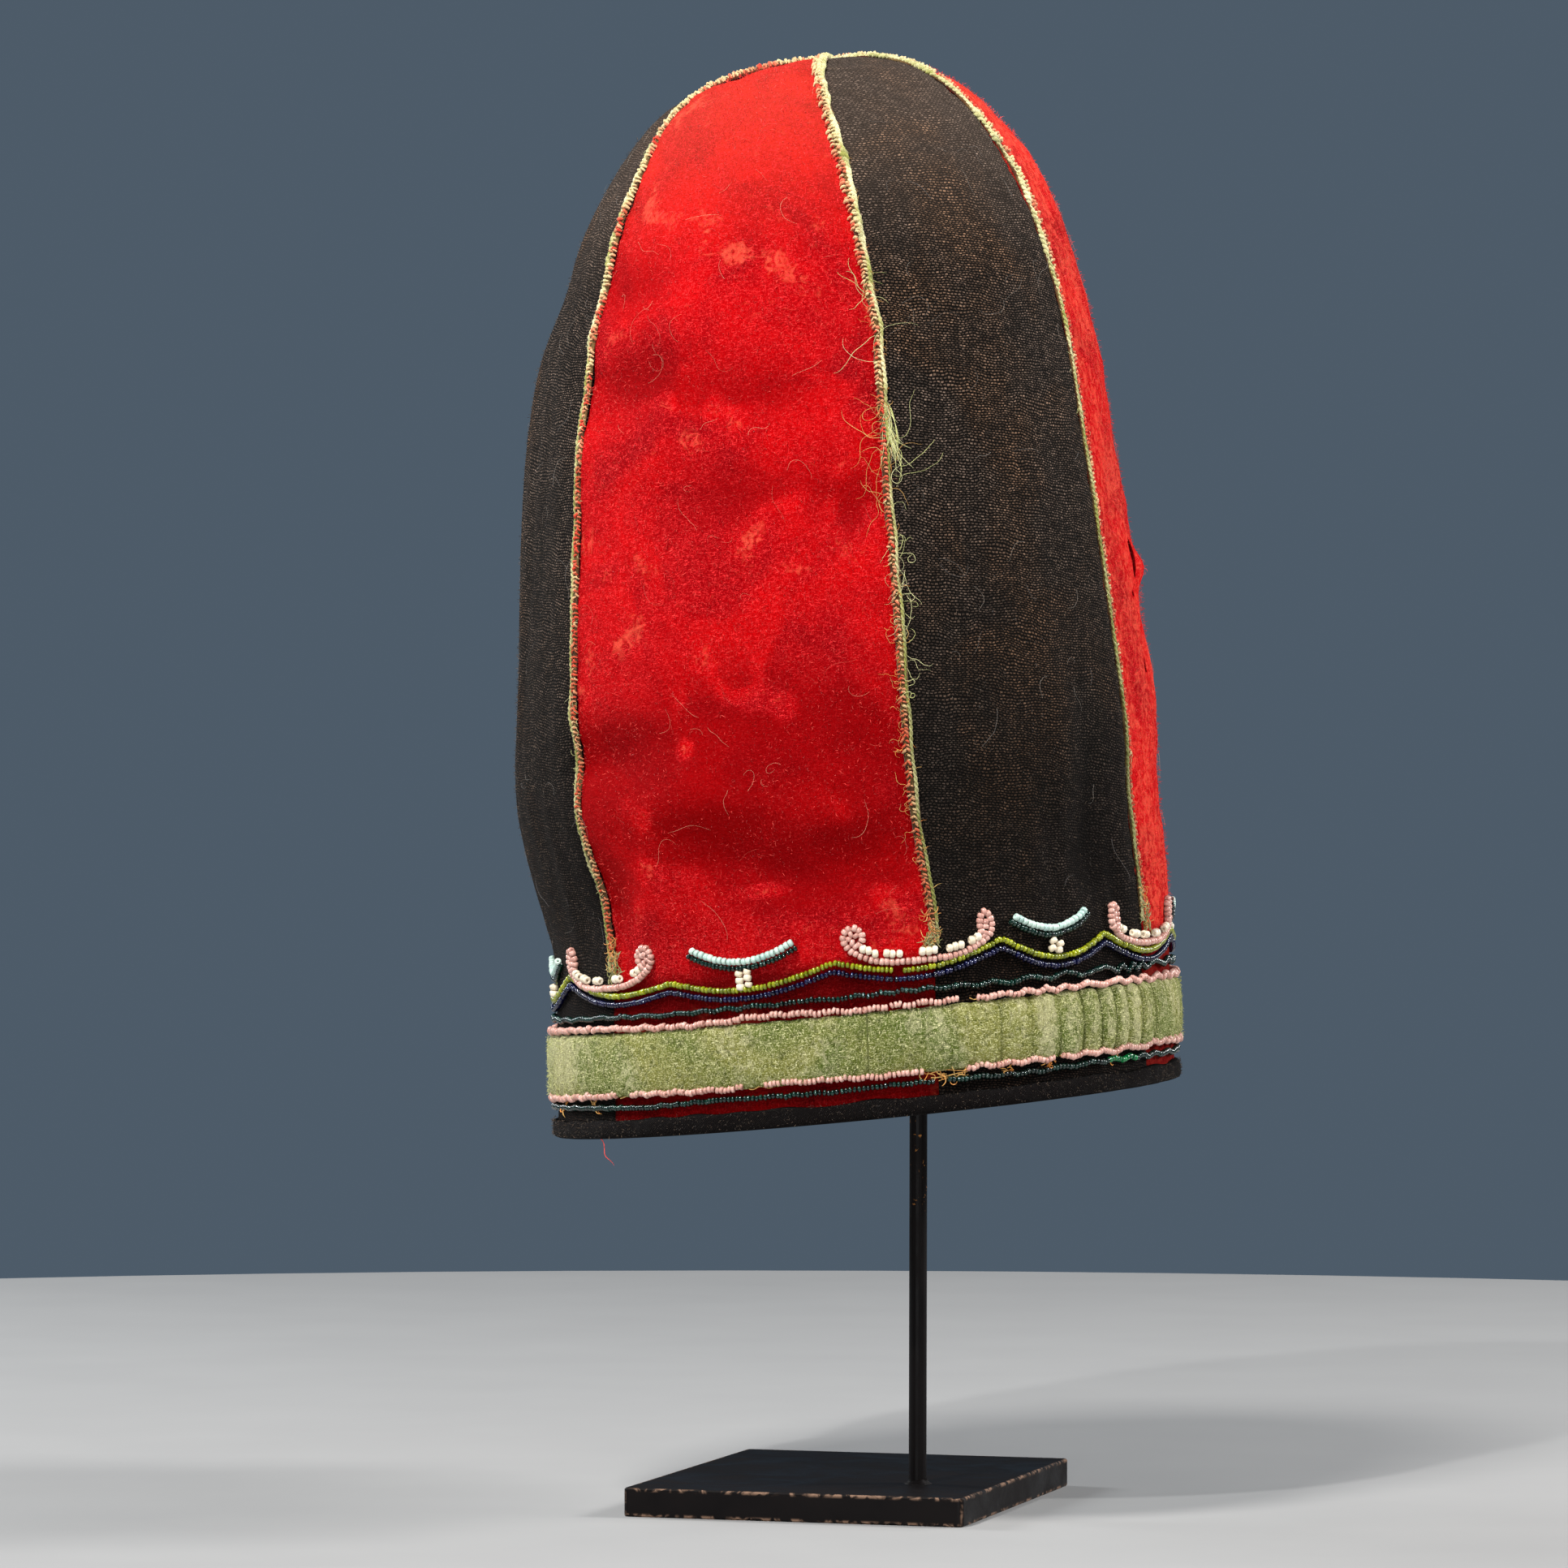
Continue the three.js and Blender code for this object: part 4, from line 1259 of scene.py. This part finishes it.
def loose_threads(roots, angles, lengths, curl, rise, steps, seed):
    """Lines of loose thread that wander over the cloth from roots of angle and height."""
    random = np.random.default_rng(seed)
    count = len(roots)
    heading = np.radians(np.asarray(angles, float))
    bend = random.normal(0, curl, count)
    x = np.zeros((count, steps))
    y = np.zeros((count, steps))
    pace = np.asarray(lengths, float) / (steps - 1)
    for step in range(1, steps):
        bend = 0.82 * bend + random.normal(0, curl * 0.55, count)
        heading = heading + bend
        x[:, step] = x[:, step - 1] + pace * np.cos(heading)
        y[:, step] = y[:, step - 1] + pace * np.sin(heading)
    arch = np.sin(math.pi * np.linspace(0, 1, steps) * random.uniform(0.6, 1.0, (count, 1)))
    lift = 0.25 + rise * arch * random.uniform(0.2, 1, (count, 1))
    roots = np.asarray(roots, float)
    along = np.clip(along_length(length_at(along_at(roots[:, 1]))[:, None] + y), 0.004, 0.985)
    degrees = np.degrees(x / np.maximum(radius_at(along), 20))
    return cap_point(roots[:, :1] + degrees, along, lift)


def make_threads(name, paths, thickness, thread, seed, sides=3):
    random = np.random.default_rng(seed)
    steps = paths.shape[1]
    taper = np.minimum(1, 0.45 + 2 * (1 - np.linspace(0, 1, steps)))
    radius = thickness / 2 * random.uniform(0.7, 1.25, (len(paths), 1)) * taper
    points, faces = tubes(paths, radius, sides, np.array([0.31, 0.57, 0.76]))
    tones = np.repeat(random.random(len(paths)), steps * sides)
    make_piece(name, points, faces, THREAD[thread], tones=tones)


def fray(name, spec, thickness, thread, seed, steps=24):
    """Threads that have come out of a seam: its angle, then spans of height, heading and length."""
    random = np.random.default_rng(seed)
    angle, count, heights, headings, lengths, curl, rise = spec
    roots = np.stack([angle + random.normal(0, 0.45, count), random.uniform(*heights, count)], -1)
    heading = random.uniform(*headings, count)
    length = random.uniform(*lengths, count)
    paths = loose_threads(roots, heading, length, curl, rise, steps, seed + 1)
    make_threads(name, paths, thickness, thread, seed + 2)


# Frayed places of the front seam: angle, how many threads, spans of height, heading and length,
# curl and rise, then thickness and thread
FRAYS = {
    "tuft": ((12.7, 44, (186, 196), (-83, -74), (6, 13), 0.03, 0.9), 0.17, "loose_yellow"),
    "sweep": ((13.4, 5, (174, 186), (-75, -15), (12, 22), 0.24, 1.2), 0.13, "loose_yellow"),
    "red_side": ((11.8, 20, (165, 196), (130, 250), (6, 18), 0.22, 1.3), 0.13, "loose_orange"),
    "upper_side": ((11.8, 10, (205, 226), (110, 190), (8, 20), 0.16, 1.5), 0.13, "loose_yellow"),
    "middle": ((13.0, 26, (112, 165), (-100, 50), (4, 13), 0.26, 1.4), 0.13, "loose_yellow"),
    "low_side": ((11.6, 40, (55, 140), (120, 240), (2, 7), 0.26, 1.0), 0.13, "loose_orange"),
}
for order, (name, (spec, thickness, thread)) in enumerate(FRAYS.items()):
    fray(f"fray_{name}", spec, thickness, thread, 201 + 3 * order)
for number, seam_angle in enumerate(SEAM_ANGLES, 1):
    seed = 220 + 9 * number
    whiskers = (seam_angle, 150, (48, 285), (0, 360), (1.2, 3.6), 0.35, 0.9)
    colour = "loose_yellow" if number % 2 else "loose_orange"
    fray(f"whiskers_{number}", whiskers, 0.12, colour, seed, 9)
    foot_angle = seam_angle + (0.9 if number % 2 else -0.9)
    foot = (foot_angle, 46, (45, 52), (-130, -50), (1.5, 5), 0.25, 1.4)
    fray(f"seam_foot_{number}", foot, 0.30, "cord", seed + 3, 9)
    foot = (foot_angle, 30, (45, 56), (-170, -10), (1.5, 5), 0.35, 1.5)
    fray(f"seam_foot_threads_{number}", foot, 0.2, "loose_orange", seed + 6, 9)


def make_nap(name, span, low, high, count, length, thread, seed, base=0.0):
    """Short fibres that stand off the face of the cloth, as flat tapered blades."""
    random = np.random.default_rng(seed)
    angle = random.uniform(*span, count)
    surface = np.linspace(along_at(low), along_at(high), 400)
    weight = radius_at(surface) * np.gradient(length_at(surface))
    along = np.interp(random.random(count), np.cumsum(weight) / weight.sum(), surface)
    root, normal = cap_place(angle, along, base - 0.1)
    lean = unit(0.7 * normal + random.normal(0, 0.75, (count, 3)))
    reach = length * random.uniform(0.4, 1.3, (count, 1))
    middle = root + lean * reach * 0.55
    tip = middle + unit(lean + random.normal(0, 0.5, (count, 3))) * reach * 0.5
    side = unit(np.cross(lean, random.normal(size=(count, 3)))) * 0.07
    points = np.stack([root, middle + side, tip, middle - side], 1).reshape(-1, 3)
    tones = np.repeat(random.random(count), 4)
    make_piece("nap_" + name, points, np.arange(4 * count).reshape(-1, 4), THREAD[thread], tones=tones)


# Threads of lint and fibres of nap on each gore
LINT_AND_NAP = [(64, 15000), (45, 6000), (22, 10000), (26, 3500), (26, 9000), (40, 4500)]
for index, (lint_count, nap_count) in enumerate(LINT_AND_NAP):
    lint, nap, nap_length = ("lint_grey", "lint_black", 1.2) if index % 2 else ("lint_pale", "lint_red", 1.5)
    start = SEAM_ANGLES[index]
    low_angle = start + 2
    high_angle = start + (SEAM_ANGLES[(index + 1) % 6] - start) % 360 - 2
    places = np.random.default_rng(310 + index)
    angles = places.uniform(low_angle, high_angle, lint_count)
    roots = np.stack([angles, places.uniform(50, 285, lint_count)], -1)
    random = np.random.default_rng(300 + index)
    heading = random.uniform(0, 360, lint_count)
    length = random.uniform(3, 14, lint_count)
    paths = loose_threads(roots, heading, length, 0.16, 1.0, 18, 320 + index)
    make_threads(f"lint_{index + 1}", paths, 0.07, lint, 330 + index)
    span = (low_angle - 1, high_angle + 1)
    make_nap(str(index + 1), span, 44, 297, nap_count, nap_length, nap, 340 + index)
band_face = TRIM_CLEARANCE + BAND_THICKNESS + 0.45
make_nap("band", (0, 360), BAND_BOTTOM + 0.5, BAND_TOP - 0.5, 13000, 1.0, "lint_green", 350, band_face)
binding_face = TRIM_CLEARANCE + BINDING_THICKNESS
make_nap("binding", (0, 360), 0.6, BINDING_HEIGHT, 4500, 0.9, "lint_black", 351, binding_face)

# Bare thread in the gaps of the rows: from and to angle, height and lift
BARE_THREADS = [
    (18.2, 21.6, 30.1, 1.4),
    (-50.4, -45.8, 11.4, 1.2),
    (-21.6, -17.2, 11.4, 1.2),
    (10.2, 18.8, 11.2, 1.0),
    (36.0, 38.0, 11.5, 1.2),
    (7.0, 9.4, 39.7, 0.6),
    (12.2, 16.2, 9.0, 0.5),
    (10.8, 17.5, 10.0, 0.8),
]

# Knots of sewing thread: angle and height
KNOTS = [(-74, 8.8), (-60, 8.6), (26, 9.4), (33.6, 9.2), (50.5, 9.6), (13, 10.4), (16.5, 9.4), (10.2, 11.2)]


def make_thread_bits():
    """Bare sewing thread in the gaps of the rows, knots of it, and the strand under the rim."""
    random = np.random.default_rng(401)
    paths = []
    for low, high, height, lift in BARE_THREADS:
        share = np.linspace(0, 1, 16)
        wobble = 0.35 * np.sin(share * random.uniform(4, 9) + random.uniform(0, 6))
        paths.append(cap_point(low + (high - low) * share, along_at(height + wobble), lift + 0.3 * wobble))
    for angle, height in KNOTS:
        for _ in range(5):
            roots = [(angle + random.normal(0, 0.6), height + random.normal(0, 0.4))]
            heading = [random.uniform(0, 360)]
            length = [random.uniform(2.5, 6)]
            seed = int(random.integers(9999))
            paths.append(loose_threads(roots, heading, length, 0.45, 1.6, 16, seed)[0])
    make_threads("thread_bits", np.array(paths), 0.34, "loose_orange", 402, 4)
    share = np.linspace(0, 1, 20)
    start = cap_point(-58.0, along_at(0.8), 1.0)
    x = share * 3.4 + 0.6 * np.sin(7 * share)
    fall = np.stack([x, -0.4 * share, -8.4 * share + 0.3 * np.sin(9 * share)], -1)
    make_threads("thread_hanging", (start + fall)[None], 0.36, "lint_red", 403, 4)


make_thread_bits()

# The stand

for node in ("base_plate", "stand_post"):
    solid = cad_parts[node]
    solid.data.materials.clear()
    solid.data.materials.append(STEEL)

# The low ring of weld round the foot of the post: distance from its middle, and height
WELD_OUTLINE = np.array([(2.3, 7.7), (4.1, 7.9), (3.7, 8.25), (3.1, 8.6), (2.72, 9.3), (2.45, 9.3)])


def make_weld():
    """The ring of weld, uneven round the post and lacquered over."""
    columns = 48
    turn = circle(columns)[:, None]
    uneven = 1 + 0.05 * np.sin(3 * turn + 0.4) + 0.03 * np.sin(7 * turn)
    reach = POST_RADIUS + (WELD_OUTLINE[None, :, 0] - POST_RADIUS) * uneven
    x = POST_X + reach * np.cos(turn)
    y = POST_Y + reach * np.sin(turn)
    rise = (WELD_OUTLINE[None, :, 1] - PLATE_THICKNESS) * (1 + 0.15 * np.sin(5 * turn))
    points = np.stack(np.broadcast_arrays(x, y, PLATE_THICKNESS + rise), -1).reshape(-1, 3)
    faces = loft_faces(columns, len(WELD_OUTLINE), ring=True)
    make_piece("post_weld", points, faces, STEEL, "black_lacquered_steel", on_cap=False)


make_weld()

# Studio

CAMERA_PLACE = (0.4978, -1.7923, 0.1882)
CAMERA_TURN = math.radians(16.13)
CAMERA_PITCH = math.radians(0.52)
CAMERA_ROLL = math.radians(0.15)
LENS = 149.07
SENSOR_WIDTH = 36

# Lights: place, height aimed at, size, power and tint
LIGHTS = {
    "key": ((-0.22, -0.78, 1.55), 0.28, 0.3, 25, (1.0, 0.97, 0.94)),
    "glint": ((-0.25, -1.25, 1.25), 0.22, 0.05, 14, (1.0, 0.99, 0.97)),
    "glint_low": ((0.35, -1.6, 0.12), 0.2, 0.05, 8, (1.0, 1.0, 1.0)),
    "fill": ((0.9, -2.0, 0.7), 0.24, 0.3, 3.5, (1.0, 0.98, 0.96)),
    "side_right": ((1.4, 0.45, 0.95), 0.26, 0.45, 30, (1.0, 0.98, 0.96)),
    "side_left": ((-1.45, 0.35, 0.75), 0.26, 0.5, 18, (0.95, 0.98, 1.0)),
    "back": ((1.1, 1.5, 0.9), 0.26, 0.6, 9, (1.0, 0.98, 0.96)),
}


def add_to_scene(name, data):
    thing = bpy.data.objects.new(name, data)
    bpy.context.scene.collection.objects.link(thing)
    return thing


def make_camera():
    camera = add_to_scene("camera", bpy.data.cameras.new("camera"))
    camera.data.sensor_width = SENSOR_WIDTH
    camera.data.lens = LENS
    level = np.array([math.cos(CAMERA_TURN), math.sin(CAMERA_TURN), 0])
    ahead = np.array([-math.sin(CAMERA_TURN), math.cos(CAMERA_TURN), 0])
    forward = ahead * math.cos(CAMERA_PITCH) + np.array([0, 0, math.sin(CAMERA_PITCH)])
    upward = np.cross(level, forward)
    place = np.eye(4)
    place[:3, 0] = level * math.cos(CAMERA_ROLL) + upward * math.sin(CAMERA_ROLL)
    place[:3, 1] = upward * math.cos(CAMERA_ROLL) - level * math.sin(CAMERA_ROLL)
    place[:3, 2] = -forward
    place[:3, 3] = CAMERA_PLACE
    camera.matrix_world = Matrix(place.tolist())
    bpy.context.scene.camera = camera


def make_light(name, place, aim_height, size, power, tint):
    lamp = bpy.data.lights.new(name, "AREA")
    lamp.shape = "DISK"
    lamp.size = size
    lamp.energy = power
    lamp.color = tint
    light = add_to_scene(name, lamp)
    light.location = place
    away = Vector(place) - Vector((0, 0, aim_height))
    light.rotation_euler = away.to_track_quat("Z", "Y").to_euler()


def make_floor():
    finish = Finish("floor", 0.75)
    finish.set(Base_Color=finish.mix(finish.noise(60, 4), (0.27, 0.27, 0.27), (0.30, 0.30, 0.298)))
    mesh = bpy.data.meshes.new("floor")
    turns = circle(96)
    mesh.from_pydata([(math.cos(a), math.sin(a), 0) for a in turns], [], [list(range(len(turns)))])
    mesh.materials.append(finish.material)
    add_to_scene("floor", mesh)


def make_world():
    world = bpy.data.worlds.new("studio")
    world.use_nodes = True
    background = world.node_tree.nodes["Background"].inputs
    background["Color"].default_value = (0.075, 0.105, 0.14, 1)
    background["Strength"].default_value = 1.0
    bpy.context.scene.world = world
    bpy.context.scene.view_settings.view_transform = "Standard"


make_camera()
make_floor()
make_world()
for name, row in LIGHTS.items():
    make_light(name, *row)
